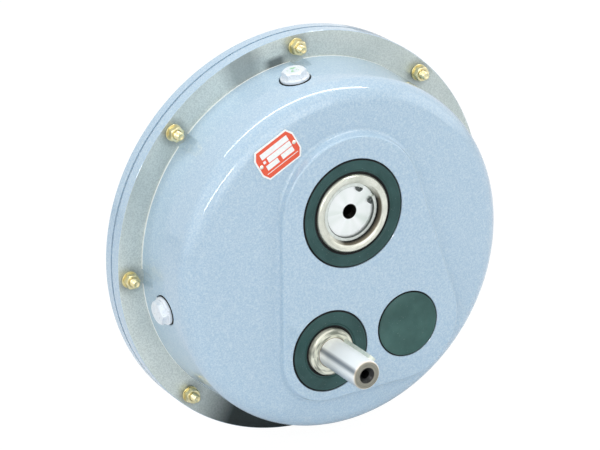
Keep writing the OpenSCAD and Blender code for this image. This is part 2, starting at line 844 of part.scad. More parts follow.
module output_front_outer_ring() { at_output_front() outer_ring(output_bearing); }
module output_rear_outer_ring() { at_output_rear() outer_ring(output_bearing); }
module intermediate_front_outer_ring() { at_intermediate_front() outer_ring(intermediate_bearing); }
module intermediate_rear_outer_ring() { at_intermediate_rear() outer_ring(intermediate_bearing); }
module input_front_outer_ring() { at_input_front() outer_ring(input_front_bearing); }
module input_rear_outer_ring() { at_input_rear() outer_ring(input_rear_bearing); }

module output_front_inner_ring() { at_output_front() inner_ring(output_bearing); }
module output_rear_inner_ring() { at_output_rear() inner_ring(output_bearing); }
module intermediate_front_inner_ring() { at_intermediate_front() inner_ring(intermediate_bearing); }
module intermediate_rear_inner_ring() { at_intermediate_rear() inner_ring(intermediate_bearing); }
module input_front_inner_ring() { at_input_front() inner_ring(input_front_bearing); }
module input_rear_inner_ring() { at_input_rear() inner_ring(input_rear_bearing); }

module output_front_cage() { at_output_front(brass) cage(output_bearing); }
module output_rear_cage() { at_output_rear(brass) cage(output_bearing); }
module intermediate_front_cage() { at_intermediate_front(brass) cage(intermediate_bearing); }
module intermediate_rear_cage() { at_intermediate_rear(brass) cage(intermediate_bearing); }
module input_front_cage() { at_input_front(brass) cage(input_front_bearing); }
module input_rear_cage() { at_input_rear(brass) cage(input_rear_bearing); }

module output_front_balls() { at_output_front() ball_set(output_bearing); }
module output_rear_balls() { at_output_rear() ball_set(output_bearing); }
module intermediate_front_balls() { at_intermediate_front() ball_set(intermediate_bearing); }
module intermediate_rear_balls() { at_intermediate_rear() ball_set(intermediate_bearing); }
module input_front_balls() { at_input_front() ball_set(input_front_bearing); }
module input_rear_balls() { at_input_rear() ball_set(input_rear_bearing); }

// ---- Output shaft ----------------------------------------------------------

module hollow_output_shaft() {
    journal_r = output_bearing[0] / 2;
    bore_r = hollow_bore_d / 2;
    seat_r = output_seat_d / 2;
    front_shoulder = front_stop - output_bearing[2];
    color(steel) laid() difference() {
        union() {
            end_step(journal_r, rear_end, wheel2_z0, -1);
            step(seat_r, wheel2_z0, wheel2_z1);
            step(output_collar_d / 2, wheel2_z1, wheel2_z1 + output_collar_t);
            step(seat_r, wheel2_z1 + output_collar_t, front_shoulder);
            end_step(journal_r, front_shoulder, front_end, 1);
        }
        step(bore_r, rear_end - cut, front_end + cut);
        step(bore_r + disc_relief, disc_front - disc_t, front_end + cut);
        step(bore_r + circlip_groove, disc_front - fit_gap, disc_front + circlip_t + fit_gap);
        for (side = [0, 1])
            translate([0, 0, side ? front_end - shaft_chamfer : rear_end - cut])
                cylinder(
                    r1 = side ? bore_r + disc_relief : bore_r + shaft_chamfer + cut,
                    r2 = side ? bore_r + disc_relief + shaft_chamfer + cut : bore_r,
                    h = shaft_chamfer + cut
                );
        translate([-bore_keyway_w / 2, 0, rear_end - cut])
            cube([bore_keyway_w, bore_r + bore_keyway_h, disc_front - disc_t - rear_end + cut]);
        translate([-output_key_w / 2, -seat_r - cut, wheel2_z0 - cut])
            cube([output_key_w, cut + output_key_t, output_face + cut]);
    }
}

module output_wheel() {
    seat_r = output_seat_d / 2;
    rim_r = root_r(module2, output_teeth) - 2.4 * module2;
    color(steel) laid() difference() {
        rotate([0, 0, stage2_angle - 90])
            helical_teeth(module2, output_teeth, wheel2_z0, wheel2_z1, 1, 2);
        step(seat_r + fit_gap, wheel2_z0 - cut, wheel2_z1 + cut);
        wheel_recesses(rim_r, seat_r + boss_wall, wheel2_z0, wheel2_z1);
        web_holes(web_hole_count, web_hole_d / 2, (rim_r + seat_r + boss_wall) / 2, wheel2_z0, wheel2_z1);
        translate([-output_key_w / 2, -seat_r - output_key_h + output_key_t, wheel2_z0 - cut])
            cube([output_key_w, output_key_h, output_face + 2 * cut]);
    }
}

module output_wheel_key() {
    color(bright) laid()
        translate([
            fit_gap - output_key_w / 2,
            fit_gap + output_key_t - output_seat_d / 2 - output_key_h,
            wheel2_z0
        ])
            cube([output_key_w - 2 * fit_gap, output_key_h - 2 * fit_gap, output_face]);
}

module output_spacer() {
    color(steel) laid() translate([0, 0, rear_stop + output_bearing[2]])
        tube(output_bearing[0] / 2 + output_spacer_wall, output_bearing[0] / 2 + fit_gap, output_spacer_t);
}

module retaining_disc() {
    r = hollow_bore_d / 2 + disc_relief - 0.1;
    color(bright) laid() translate([0, 0, disc_front - disc_t]) difference() {
        union() {
            cylinder(r = r, h = disc_t - 1);
            translate([0, 0, disc_t - 1]) cylinder(r1 = r, r2 = r - 0.6, h = 1);
        }
        translate([0, 0, -cut]) cylinder(r = disc_hole_d / 2, h = disc_t + 2 * cut);
        for (i = [0 : disc_slot_count - 1])
            rotate([0, 0, i * 360 / disc_slot_count])
                translate([r - disc_slot_h, -disc_slot_w / 2, -cut])
                    cube([disc_slot_h + cut, disc_slot_w, disc_t + 2 * cut]);
    }
}

// Internal circlip with an eyed lug at each end
module bore_circlip() {
    outer = hollow_bore_d / 2 + circlip_groove - fit_gap;
    inner = hollow_bore_d / 2 + circlip_groove - circlip_w;
    lug_r = 3.4;
    lug_at = hollow_bore_d / 2 - lug_r - 0.6;
    gap_angle = 17;
    color(steel) laid() translate([0, 0, disc_front]) rotate([0, 0, circlip_turn]) linear_extrude(circlip_t) {
        difference() {
            circle(r = outer);
            circle(r = inner);
            polygon(2 * outer * [[0, 0], [1, -tan(gap_angle)], [1, tan(gap_angle)]]);
        }
        for (side = [1, -1])
            rotate(side * (gap_angle + 7)) translate([lug_at, 0]) difference() {
                circle(r = lug_r, $fn = 32);
                circle(r = 1.25, $fn = 24);
            }
    }
}

// ---- Intermediate shaft ----------------------------------------------------

module intermediate_shaft() {
    journal_r = intermediate_bearing[0] / 2;
    seat_r = intermediate_seat_d / 2;
    rear_shoulder = rear_stop + intermediate_bearing[2];
    color(steel) laid() at(intermediate_at) difference() {
        union() {
            end_step(journal_r, rear_stop, rear_shoulder, -1);
            step(journal_r, rear_shoulder, wheel1_z1);
            step(intermediate_shoulder_d / 2, rear_shoulder, pinion2_z0);
            rotate([0, 0, stage2_angle + 90 + 180 / intermediate_pinion_teeth])
                helical_teeth(module2, intermediate_pinion_teeth, pinion2_z0, pinion2_z1, -1, 5);
            step(intermediate_collar_d / 2, pinion2_z1, wheel1_z0);
            step(seat_r, wheel1_z0, wheel1_z1);
            end_step(journal_r, wheel1_z1, front_stop, 1);
        }
        translate([-intermediate_key_w / 2, seat_r - intermediate_key_t, wheel1_z0])
            cube([intermediate_key_w, seat_r, intermediate_face + cut]);
    }
}

module intermediate_wheel() {
    seat_r = intermediate_seat_d / 2;
    rim_r = root_r(module1, intermediate_wheel_teeth) - 2.4 * module1;
    color(steel) laid() at(intermediate_at) difference() {
        rotate([0, 0, stage1_angle])
            helical_teeth(module1, intermediate_wheel_teeth, wheel1_z0, wheel1_z1, -1, 2);
        step(seat_r + fit_gap, wheel1_z0 - cut, wheel1_z1 + cut);
        wheel_recesses(rim_r, seat_r + boss_wall, wheel1_z0, wheel1_z1);
        translate([-intermediate_key_w / 2, 0, wheel1_z0 - cut])
            cube([
                intermediate_key_w,
                seat_r - intermediate_key_t + intermediate_key_h,
                intermediate_face + 2 * cut
            ]);
    }
}

module intermediate_wheel_key() {
    color(bright) laid()
        at(intermediate_at)
            translate([
                fit_gap - intermediate_key_w / 2,
                fit_gap + intermediate_seat_d / 2 - intermediate_key_t,
                wheel1_z0 + fit_gap
            ])
                cube([
                    intermediate_key_w - 2 * fit_gap,
                    intermediate_key_h - 2 * fit_gap,
                    intermediate_face - fit_gap
                ]);
}

module intermediate_spacer() {
    length = front_stop - intermediate_bearing[2] - wheel1_z1;
    color(steel) laid() at(intermediate_at, wheel1_z1)
        tube(intermediate_seat_d / 2, intermediate_bearing[0] / 2 + fit_gap, length);
}

// ---- Input shaft -----------------------------------------------------------

// Upright outline of the round-ended key, grown by grow on every side
module key_outline(grow) {
    half_w = input_key_w / 2;
    run = input_key_len - input_key_w;
    translate([-half_w - grow, 0]) square([2 * (half_w + grow), run]);
    for (y = [0, run])
        translate([0, y]) circle(r = half_w + grow, $fn = 32);
}

// Lays an outline along the input shaft; its foot is input_key_t below the surface
module at_input_key() {
    at(input_at, journal_end + input_key_start + input_key_w / 2)
        rotate([0, 0, input_key_angle - 90])
            translate([0, input_d / 2 - input_key_t, 0])
                rotate([90, 0, 180])
                    children();
}

module input_shaft() {
    rear_r = input_rear_bearing[0] / 2;
    rear_shoulder = rear_stop + input_rear_bearing[2];
    front_shoulder = front_stop - input_front_bearing[2];
    cone_h = (centre_mouth_d - centre_hole_d) / 2;
    color(steel) laid() difference() {
        at(input_at) union() {
            end_step(rear_r, rear_stop, rear_shoulder, -1);
            step(input_collar_d / 2, rear_shoulder, rear_shoulder + input_collar_t);
            step(input_body_d / 2, rear_shoulder, front_shoulder);
            rotate([0, 0, stage1_angle + 180 + 180 / input_pinion_teeth])
                helical_teeth(module1, input_pinion_teeth, pinion1_z0, pinion1_z1, 1, 4);
            step(input_shoulder_d / 2, pinion1_z1, front_shoulder);
            end_step(input_journal_d / 2, front_shoulder, journal_end, 1);
            end_step(input_d / 2, journal_end, input_end, 1);
        }
        at(input_at, input_end - centre_hole_depth)
            cylinder(r = centre_hole_d / 2, h = centre_hole_depth + cut);
        at(input_at, input_end - cone_h)
            cylinder(r1 = centre_hole_d / 2, r2 = centre_mouth_d / 2, h = cone_h + fit_gap);
        at_input_key() linear_extrude(input_d) key_outline(0);
    }
}

module input_shaft_key() {
    color(bright) laid() at_input_key()
        translate([0, 0, fit_gap]) linear_extrude(input_key_h) key_outline(-fit_gap);
}

front_casing();
rear_casing();
casing_gasket();
flange_bolts();
flange_nuts();
flange_washers();
dowel_pins();
filler_plug();
level_plug();
drain_plug();
plug_sealing_rings();
nameplate();
nameplate_rivets();
output_seal_front();
output_seal_rear();
input_seal();
intermediate_cap();
output_front_outer_ring();
output_rear_outer_ring();
input_front_outer_ring();
input_rear_outer_ring();
intermediate_front_outer_ring();
intermediate_rear_outer_ring();
hollow_output_shaft();
output_wheel();
output_wheel_key();
output_spacer();
retaining_disc();
bore_circlip();
output_front_inner_ring();
output_rear_inner_ring();
intermediate_shaft();
intermediate_wheel();
intermediate_wheel_key();
intermediate_spacer();
intermediate_front_inner_ring();
intermediate_rear_inner_ring();
input_shaft();
input_shaft_key();
input_front_inner_ring();
input_rear_inner_ring();
output_front_cage();
output_front_balls();
output_rear_cage();
output_rear_balls();
intermediate_front_cage();
intermediate_front_balls();
intermediate_rear_cage();
intermediate_rear_balls();
input_front_cage();
input_front_balls();
input_rear_cage();
input_rear_balls();
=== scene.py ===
"""Looks of the shaft-mounted helical gear reducer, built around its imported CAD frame.

Shapes are worked out in millimetres in the drawing frame of the part's source (x right, y up,
z towards the input side) and laid into the row frame, in metres, by laid().
"""
import math

import bmesh
import bpy
import numpy as np
from mathutils import Matrix, Vector


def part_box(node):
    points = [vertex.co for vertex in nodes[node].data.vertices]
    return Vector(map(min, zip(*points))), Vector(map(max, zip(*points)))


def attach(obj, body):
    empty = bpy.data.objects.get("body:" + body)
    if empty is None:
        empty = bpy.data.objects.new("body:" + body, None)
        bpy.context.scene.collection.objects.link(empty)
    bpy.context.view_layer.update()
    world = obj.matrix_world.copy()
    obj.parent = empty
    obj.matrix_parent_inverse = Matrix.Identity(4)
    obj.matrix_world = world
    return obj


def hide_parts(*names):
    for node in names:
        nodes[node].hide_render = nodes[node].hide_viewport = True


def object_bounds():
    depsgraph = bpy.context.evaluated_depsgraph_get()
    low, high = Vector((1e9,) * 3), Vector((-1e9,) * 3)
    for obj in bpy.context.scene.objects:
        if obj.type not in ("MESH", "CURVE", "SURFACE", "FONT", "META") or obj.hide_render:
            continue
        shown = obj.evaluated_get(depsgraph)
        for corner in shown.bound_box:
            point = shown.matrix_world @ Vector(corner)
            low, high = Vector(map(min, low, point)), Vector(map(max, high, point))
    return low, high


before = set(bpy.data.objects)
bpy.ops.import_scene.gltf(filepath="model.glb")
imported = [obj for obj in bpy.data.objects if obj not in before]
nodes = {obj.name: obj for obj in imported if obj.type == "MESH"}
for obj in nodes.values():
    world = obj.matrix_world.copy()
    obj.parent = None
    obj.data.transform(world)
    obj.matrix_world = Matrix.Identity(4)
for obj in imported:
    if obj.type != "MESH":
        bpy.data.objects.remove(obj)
cad_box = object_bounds()
scene = bpy.context.scene

MM = 0.001

# ---- Sizes, read from the frame where it has them ---------------------------


def drawn_box(node):
    """Lowest and highest corner of a CAD node in the drawing frame, in millimetres."""
    lo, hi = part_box(node)
    return np.array([lo.x, lo.z, -hi.y]) / MM, np.array([hi.x, hi.z, -lo.y]) / MM


def axis_of(node):
    lo, hi = drawn_box(node)
    return (lo[:2] + hi[:2]) / 2


def radius_of(node):
    lo, hi = drawn_box(node)
    return (hi[0] - lo[0]) / 2


FLANGE_AT = axis_of("rear_casing")
FLANGE_R = radius_of("rear_casing")
OUTPUT_AT = axis_of("output_seal_front")
INPUT_AT = axis_of("input_seal")
CAP_AT = axis_of("intermediate_cap")
FRONT_DEPTH = drawn_box("output_seal_front")[1][2]
REAR_DEPTH = -drawn_box("output_seal_rear")[0][2]
SEAL_T = FRONT_DEPTH - drawn_box("output_seal_front")[0][2]
JOINT = drawn_box("casing_gasket")[1][2]

# Lengths in millimetres, angles in radians
SEAT_GAP = 0.02
WALL = 8
FLANGE_W = 24.5
FRONT_FLANGE_T = 12.5
REAR_FLANGE_T = 11.5
BODY_R = FLANGE_R - FLANGE_W
DRAFT = math.radians(2.5)
CROWN = 8
SHOULDER_R = 18
SHOULDER_TURN = math.radians(84)
PAD_RISE = 4
PAD_DRAFT = math.radians(17)
OUTPUT_PAD_W = 21
INPUT_PAD_W = 9
CAP_PAD_W = 22.5
REAR_PAD_W = 16
JOINT_GROOVE = 0.9
# height of the painted highlight strip on the foot of the wall, where the rays of the outside start
HIGHLIGHT_STRIP_H = 1.7
LIP_T = 2.5
LIP_H = 5
BOSS_WALL = 8
OUTPUT_SHAFT_R = 37.5
INPUT_JOURNAL_R = 22.5
INPUT_END_R = 14
INPUT_CENTRE_R = 7.3
BORE_R = 27.5
MOUTH_R = BORE_R + 3.5
SEALS = {
    "output_seal_front": OUTPUT_SHAFT_R, "output_seal_rear": OUTPUT_SHAFT_R, "input_seal": INPUT_JOURNAL_R,
}
CIRCLIP_R = 24.4
DISC_THREAD_R = 7.1
BOLT_R = 4
BOLT_HOLE_R = BOLT_R + 0.5
THREAD_PITCH = 1.25
NUT_AF = 13
WASHER_R = 8
SPOT_FACE_R = 15
BOLT_COUNT = 8
BOLT_INSET = 11.5
BOLT_CIRCLE_R = FLANGE_R - BOLT_INSET
PLUG_Z = 48
PLUG_SINK = 2.2
PLUG_R = 10
PLUG_SEAT_R = 15
PLUG_RING_T = 1.8
PLUG_COLLAR_R = 13.5
PLUG_COLLAR_T = 3
PLUG_HEAD_AF = 20
PLUG_HEAD_H = 6
PLATE_L = 45
PLATE_H = 31
PLATE_T = 1
RIVET_PITCH = 37.8

# Turns in degrees
PLUG_TURN = 7.5
PLUG_TURNS = {"filler_plug": 0, "level_plug": 90, "drain_plug": 180}
PLATE_TURN = 30
PLATE_SKEW = 4.5


def laid(points):
    """Drawing frame in millimetres to row frame in metres."""
    p = np.asarray(points, float) * MM
    return np.stack([p[..., 0], -p[..., 2], p[..., 1]], -1)


# ---- Mesh helpers -----------------------------------------------------------


def mesh_object(name, points, faces, smooth_angle=30):
    """A mesh object from points in the drawing frame; edges sharper than smooth_angle stay sharp."""
    mesh = bpy.data.meshes.new(name)
    mesh.from_pydata(laid(points).tolist(), [], faces)
    mesh.validate()
    mesh.polygons.foreach_set("use_smooth", [True] * len(mesh.polygons))
    mesh.set_sharp_from_angle(angle=math.radians(smooth_angle))
    obj = bpy.data.objects.new(name, mesh)
    scene.collection.objects.link(obj)
    return obj


def revolved(profile, segments, at=(0, 0), closed=False):
    """Points and faces of a profile of (radius, height) turned about +Z at a point.
    An open profile starts and ends on the axis, and a closed one goes round a ring."""
    profile = [tuple(p) for p in profile]
    angles = np.arange(segments) * 2 * math.pi / segments
    points, rows = [], []
    for r, z in profile:
        if r < 1e-9:
            rows.append([len(points)] * segments)
            points.append((at[0], at[1], z))
            continue
        rows.append(list(range(len(points), len(points) + segments)))
        points += [(at[0] + r * math.cos(a), at[1] + r * math.sin(a), z) for a in angles]
    faces = []
    pairs = list(zip(rows, rows[1:] + rows[:1])) if closed else list(zip(rows, rows[1:]))
    for low, high in pairs:
        for i in range(segments):
            j = (i + 1) % segments
            face = [low[i], low[j], high[j], high[i]]
            face = [v for k, v in enumerate(face) if v != face[k - 1]]
            if len(face) > 2:
                faces.append(face)
    return points, faces


def combined(parts):
    """Several (points, faces) as one."""
    points, faces = [], []
    for part_points, part_faces in parts:
        shift = len(points)
        points += [tuple(p) for p in part_points]
        faces += [[v + shift for v in f] for f in part_faces]
    return points, faces


def moved(part, matrix):
    points, faces = part
    p = np.asarray(points, float)
    m = np.array(matrix, float)
    return (p @ m[:3, :3].T + m[:3, 3]).tolist(), faces


def turn_z(degrees):
    return Matrix.Rotation(math.radians(degrees), 4, "Z")


def cylinder(r, z0, z1, at=(0, 0), segments=96):
    return revolved([(0, z0), (r, z0), (r, z1), (0, z1)], segments, at)


def arc(centre, r, start, end, steps):
    """Points of an arc in a profile, angles in degrees from the radius outwards."""
    angles = np.radians(np.linspace(start, end, steps + 1))
    return [(centre[0] + r * math.cos(a), centre[1] + r * math.sin(a)) for a in angles]


def cut_away(obj, tool):
    """Takes one object away from another, and the tool out of the scene."""
    modifier = obj.modifiers.new("cut", "BOOLEAN")
    modifier.operation = "DIFFERENCE"
    modifier.solver = "MANIFOLD"
    modifier.object = tool
    graph = bpy.context.evaluated_depsgraph_get()
    mesh = bpy.data.meshes.new_from_object(obj.evaluated_get(graph))
    obj.modifiers.clear()
    obj.data = mesh
    bpy.data.objects.remove(tool)


def cut_from(obj, part):
    """Takes a closed part away from an object."""
    cut_away(obj, mesh_object(obj.name + "_tool", *part))


# ---- Cast casing halves -----------------------------------------------------


def rounded_and(a, b, r):
    """Where two distance fields meet, with an outer edge of radius r."""
    return np.minimum(-r, np.maximum(a, b)) + np.hypot(np.maximum(r + a, 0), np.maximum(r + b, 0))


def filleted_or(a, b, r):
    """Two distance fields joined, with an inner fillet of radius r."""
    return np.maximum(r, np.minimum(a, b)) - np.hypot(np.maximum(r - a, 0), np.maximum(r - b, 0))


def capsule(x, y, a, b, ra, rb):
    """Distance to the outline round two circles."""
    along = np.subtract(b, a)
    length = np.hypot(*along)
    u = along / length
    px, py = x - a[0], y - a[1]
    side = np.abs(px * u[1] - py * u[0])
    run = px * u[0] + py * u[1]
    slope = (ra - rb) / length
    cosine = math.sqrt(1 - slope * slope)
    k = cosine * run - slope * side
    flank = cosine * side + slope * run - ra
    end = np.hypot(side, run - length) - rb
    return np.where(k < 0, np.hypot(side, run) - ra, np.where(k > cosine * length, end, flank))


def front_pad_outline(x, y):
    lobes = [
        (OUTPUT_AT, radius_of("output_seal_front") + OUTPUT_PAD_W),
        (INPUT_AT, radius_of("input_seal") + INPUT_PAD_W),
        (CAP_AT, radius_of("intermediate_cap") + CAP_PAD_W),
    ]
    sides = []
    for (a, ra), (b, rb) in zip(lobes, lobes[1:] + lobes[:1]):
        sides.append(capsule(x, y, a, b, ra, rb))
    return np.minimum.reduce(sides)


def rear_pad_outline(x, y):
    return np.hypot(x - OUTPUT_AT[0], y - OUTPUT_AT[1]) - radius_of("output_seal_rear") - REAR_PAD_W


def wall_radius(z, flange_t):
    return BODY_R - (z - flange_t) * math.tan(DRAFT)


def dome_radius(top, flange_t):
    """Where the rounded shoulder runs into the dome."""
    low = top - CROWN - SHOULDER_R * math.sin(SHOULDER_TURN)
    return wall_radius(low, flange_t) - SHOULDER_R * (1 - math.cos(SHOULDER_TURN))


def casting(x, y, z, depth, flange_t, outline, fillet_r, edge_r):
    """Distance-like field of one cast half, without its flange."""
    top = depth - PAD_RISE
    rho = np.hypot(x - FLANGE_AT[0], y - FLANGE_AT[1])
    dome_z = top - CROWN * np.square(rho / dome_radius(top, flange_t))
    body = rounded_and((rho - wall_radius(z, flange_t)) * math.cos(DRAFT), z - dome_z, SHOULDER_R)
    pad = (outline(x, y) - (depth - z) * math.tan(PAD_DRAFT)) * math.cos(PAD_DRAFT)
    return rounded_and(filleted_or(body, pad, fillet_r), z - depth, edge_r)


def surface_rows(field, flange_t, columns, rows):
    """Points of a casting's outside, each column running from the wall's foot to the top.
    Rays from the joint's centre meet the surface once; rows crowd where the surface bends."""
    nearest, farthest, halvings = 20.0, 300.0, 34
    rays, bend_weight = 420, 26
    theta = np.arange(columns) * 2 * math.pi / columns
    first = math.atan2(flange_t + HIGHLIGHT_STRIP_H, wall_radius(flange_t + HIGHLIGHT_STRIP_H, flange_t))

    def meet(phi):
        cos_t, sin_t = np.cos(theta)[:, None], np.sin(theta)[:, None]
        near, far = np.full(phi.shape, nearest), np.full(phi.shape, farthest)
        for _ in range(halvings):
            middle = (near + far) / 2
            rho = middle * np.cos(phi)
            inside = field(FLANGE_AT[0] + rho * cos_t, FLANGE_AT[1] + rho * sin_t, middle * np.sin(phi)) < 0
            near, far = np.where(inside, middle, near), np.where(inside, far, middle)
        return near

    dense = np.linspace(first, math.pi / 2, rays)
    phi = np.tile(dense, (columns, 1))
    reach = meet(phi)
    rho, z = reach * np.cos(phi), reach * np.sin(phi)
    step = np.hypot(np.diff(rho), np.diff(z))
    heading = np.unwrap(np.arctan2(np.diff(z), np.diff(rho)))
    bend = np.abs(np.diff(heading))
    weight = step + bend_weight * np.pad((bend[:, 1:] + bend[:, :-1]) / 2, ((0, 0), (1, 1)), "edge")
    weight = (np.roll(weight, 1, 0) + weight + np.roll(weight, -1, 0)) / 3
    total = np.concatenate([np.zeros((columns, 1)), np.cumsum(weight, 1)], 1)
    chosen = np.empty((columns, rows))
    for i in range(columns):
        chosen[i] = np.interp(np.linspace(0, total[i, -1], rows + 1)[:-1], total[i], dense)
    reach = meet(chosen)
    return theta, reach * np.cos(chosen), reach * np.sin(chosen)


def cast_half(depth, flange_t, outline, fillet_r, edge_r, columns=540, rows=120):
    """Outside of one cast half as a closed solid standing on the joint plane."""
    def field(x, y, z):
        return casting(x, y, z, depth, flange_t, outline, fillet_r, edge_r)

    theta, rho, z = surface_rows(field, flange_t, columns, rows)
    round_r, groove_r, groove_top = 1, FLANGE_R - 1, JOINT + JOINT_GROOVE
    skirt = [(groove_r, JOINT), (groove_r, groove_top)]
    skirt += [(FLANGE_R - 0.2, groove_top), (FLANGE_R, groove_top - 0.1)]
    skirt += arc((FLANGE_R - round_r, flange_t - round_r), round_r, 0, 90, 3)
    skirt += [(FLANGE_R - 3, flange_t), (BODY_R + 3, flange_t)]
    points, rings = [(FLANGE_AT[0], FLANGE_AT[1], JOINT)], [[0] * columns]

    def add_ring(radii, heights):
        rings.append(list(range(len(points), len(points) + columns)))
        for t, r, h in zip(theta, radii, heights):
            points.append((FLANGE_AT[0] + r * math.cos(t), FLANGE_AT[1] + r * math.sin(t), h))

    for r, h in skirt:
        add_ring([r] * columns, [h] * columns)
    add_ring([BODY_R] * columns, [flange_t] * columns)
    for i in range(rows):
        add_ring(rho[:, i], z[:, i])
    rings.append([len(points)] * columns)
    points.append((FLANGE_AT[0], FLANGE_AT[1], depth))
    faces = []
    for low, high in zip(rings, rings[1:]):
        for i in range(columns):
            j = (i + 1) % columns
            face = [low[i], low[j], high[j], high[i]]
            face = [v for k, v in enumerate(face) if v != face[k - 1]]
            faces.append(face)
    return points, faces


def half_section(top, flange_t, inset):
    """Inside of a cast half as a profile, from below the joint to the dome."""
    edge = top - CROWN
    arc_z = edge - SHOULDER_R * math.sin(SHOULDER_TURN)
    arc_r = wall_radius(arc_z, flange_t) - SHOULDER_R
    dome_r = dome_radius(top, flange_t)
    dome = [(dome_r * u, edge - inset + CROWN * (1 - u * u)) for u in np.linspace(0.95, 0, 12)]
    low = [(0, -1), (BODY_R - inset, -1), (BODY_R - inset, flange_t)]
    return low + arc((arc_r, arc_z), SHOULDER_R - inset, 0, math.degrees(SHOULDER_TURN), 8) + dome


def ring_station(node):
    """Axis, outer radius, and lower and upper height of a bearing ring, heights counted outwards."""
    lo, hi = drawn_box(node)
    low, high = sorted((abs(lo[2]), abs(hi[2])))
    return axis_of(node), radius_of(node) + SEAT_GAP, low, high


def hollow_out(obj, side, top, flange_t, depth, seals):
    """Cuts the gear room, the bearing seats and the seal seats of one half."""
    room = mesh_object(obj.name + "_room", *revolved(half_section(top, flange_t, WALL), 180, FLANGE_AT))
    stations = {}
    for axis in ("output", "input", "intermediate"):
        stations[axis] = ring_station(f"{axis}_{side}_outer_ring")
    for at, r, low, _ in stations.values():
        cut_from(room, cylinder(r + BOSS_WALL, low, depth + 1, at))
    cut_away(obj, room)
    chamfer = 0.5
    for axis, (at, r, _, high) in stations.items():
        profile = [(0, -2), (r, -2), (r, high)]
        if axis in seals:
            seal_r = radius_of(seals[axis]) + SEAT_GAP
            lip_r = min(r, seal_r) - LIP_H
            profile += [(lip_r, high), (lip_r, high + LIP_T), (seal_r, high + LIP_T)]
            profile += [(seal_r, depth - chamfer), (seal_r + chamfer, depth)]
            profile += [(seal_r + chamfer + 1, depth + 1), (0, depth + 1)]
        else:
            profile.append((0, high))
        cut_from(obj, revolved(profile, 128, at))


def bolt_places():
    for i in range(BOLT_COUNT):
        turn = math.radians(90 + i * 360 / BOLT_COUNT)
        yield np.add(FLANGE_AT, (BOLT_CIRCLE_R * math.cos(turn), BOLT_CIRCLE_R * math.sin(turn)))


def spot_faces(obj, flange_t):
    """Bolt holes and the spot faces round them, which bite into the foot of the wall."""
    bite, reach, edge = 0.1, 20, 1
    face, top = flange_t - bite, flange_t + reach
    profile = [(0, -2), (BOLT_HOLE_R, -2), (BOLT_HOLE_R, face), (SPOT_FACE_R, face)]
    profile += [(SPOT_FACE_R, top - edge), (SPOT_FACE_R - edge, top), (0, top)]
    cut_from(obj, combined([revolved(profile, 64, at) for at in bolt_places()]))


def plug_frame(turn):
    """Places a shape on the side wall, its +Z pointing outwards from the plug's seat."""
    seat_r = wall_radius(PLUG_Z, FRONT_FLANGE_T) - PLUG_SINK
    return (
        Matrix.Translation((*FLANGE_AT, PLUG_Z))
        @ turn_z(PLUG_TURN + turn)
        @ Matrix.Rotation(math.radians(-90), 4, "X")
        @ Matrix.Translation((0, 0, seat_r))
    )


def front_casing():
    outside = cast_half(FRONT_DEPTH, FRONT_FLANGE_T, front_pad_outline, fillet_r=2.5, edge_r=1.5)
    obj = mesh_object("casing_front", *outside)
    seals = {"output": "output_seal_front", "input": "input_seal", "intermediate": "intermediate_cap"}
    hollow_out(obj, "front", FRONT_DEPTH - PAD_RISE, FRONT_FLANGE_T, FRONT_DEPTH, seals)
    spot_faces(obj, FRONT_FLANGE_T)
    below, above = -14, 8
    seat = [(0, below), (PLUG_R, below), (PLUG_R, 0), (PLUG_SEAT_R, 0), (PLUG_SEAT_R, above), (0, above)]
    cut_from(obj, combined([moved(revolved(seat, 64), plug_frame(turn)) for turn in PLUG_TURNS.values()]))
    return obj


def rear_casing():
    sizes = {"fillet_r": 3, "edge_r": 2, "columns": 480, "rows": 90}
    outside = cast_half(REAR_DEPTH, REAR_FLANGE_T, rear_pad_outline, **sizes)
    obj = mesh_object("casing_rear", *outside)
    hollow_out(obj, "rear", REAR_DEPTH - PAD_RISE, REAR_FLANGE_T, REAR_DEPTH, {"output": "output_seal_rear"})
    spot_faces(obj, REAR_FLANGE_T)
    obj.data.transform(Matrix.Scale(-1, 4, (0, 1, 0)))
    obj.data.flip_normals()
    return obj


def finish_casing(obj, node, face_y):
    """Paint outside, bare metal on the machined flange face, and a painted highlight strip, near white, up
    the foot of the wall; sharp edges and flat faces shade true.
    """
    mesh = obj.data
    mesh.materials.clear()
    for material in (PAINT, BARE, HIGHLIGHT_STRIP):
        mesh.materials.append(material)
    paint, bare, foot = 0, 1, 2
    centre = Vector(laid((*FLANGE_AT, 0)).tolist())
    inner_r, outer_r = (BODY_R - 3) * MM, (FLANGE_R - 0.4) * MM
    for polygon in mesh.polygons:
        c = polygon.center
        rho = math.hypot(c.x - centre.x, c.z - centre.z)
        off_face = abs(abs(c.y) - abs(face_y))
        # the flange face is bare metal; the strip up the foot of the wall is a painted highlight
        on_ring = off_face < HIGHLIGHT_STRIP_H * MM and inner_r < rho < outer_r
        metal = bare if off_face < 0.1 * MM else foot
        polygon.material_index = metal if on_ring else paint
        polygon.use_smooth = True
    mesh.set_sharp_from_angle(angle=math.radians(28))
    weighted = obj.modifiers.new("flat_faces", "WEIGHTED_NORMAL")
    weighted.keep_sharp = True
    weighted.weight = 60
    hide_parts(node)
    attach(obj, "casing")


# ---- Fasteners, plugs and plate ---------------------------------------------


def level(columns, radius, height):
    """A round and level row of a turned grid."""
    return np.full(columns, float(radius)), np.full(columns, float(height))


def hex_prism(af, h, hole_r=0.0, both_ends=False, columns=72):
    """Hexagon with its corners turned off to 30 degrees, standing on z = 0."""
    angles = np.arange(columns) * 2 * math.pi / columns
    sixth = math.pi / 3
    outline = af / 2 / np.cos((angles + sixth / 2) % sixth - sixth / 2)
    face_r, hole_edge = af / 2 * 0.96, 0.5
    drop = (outline - face_r) * math.tan(math.radians(30))
    rows = [level(columns, hole_r, 0)] if hole_r else []
    if both_ends:
        rows += [level(columns, face_r, 0), (outline, drop)]
    else:
        rows += [(outline, np.zeros(columns))]
    rows += [(outline, h - drop), level(columns, face_r, h)]
    if hole_r:
        rows += [level(columns, hole_r + hole_edge, h), level(columns, hole_r, h - hole_edge)]
    return grid_turned(angles, rows, closed=bool(hole_r))


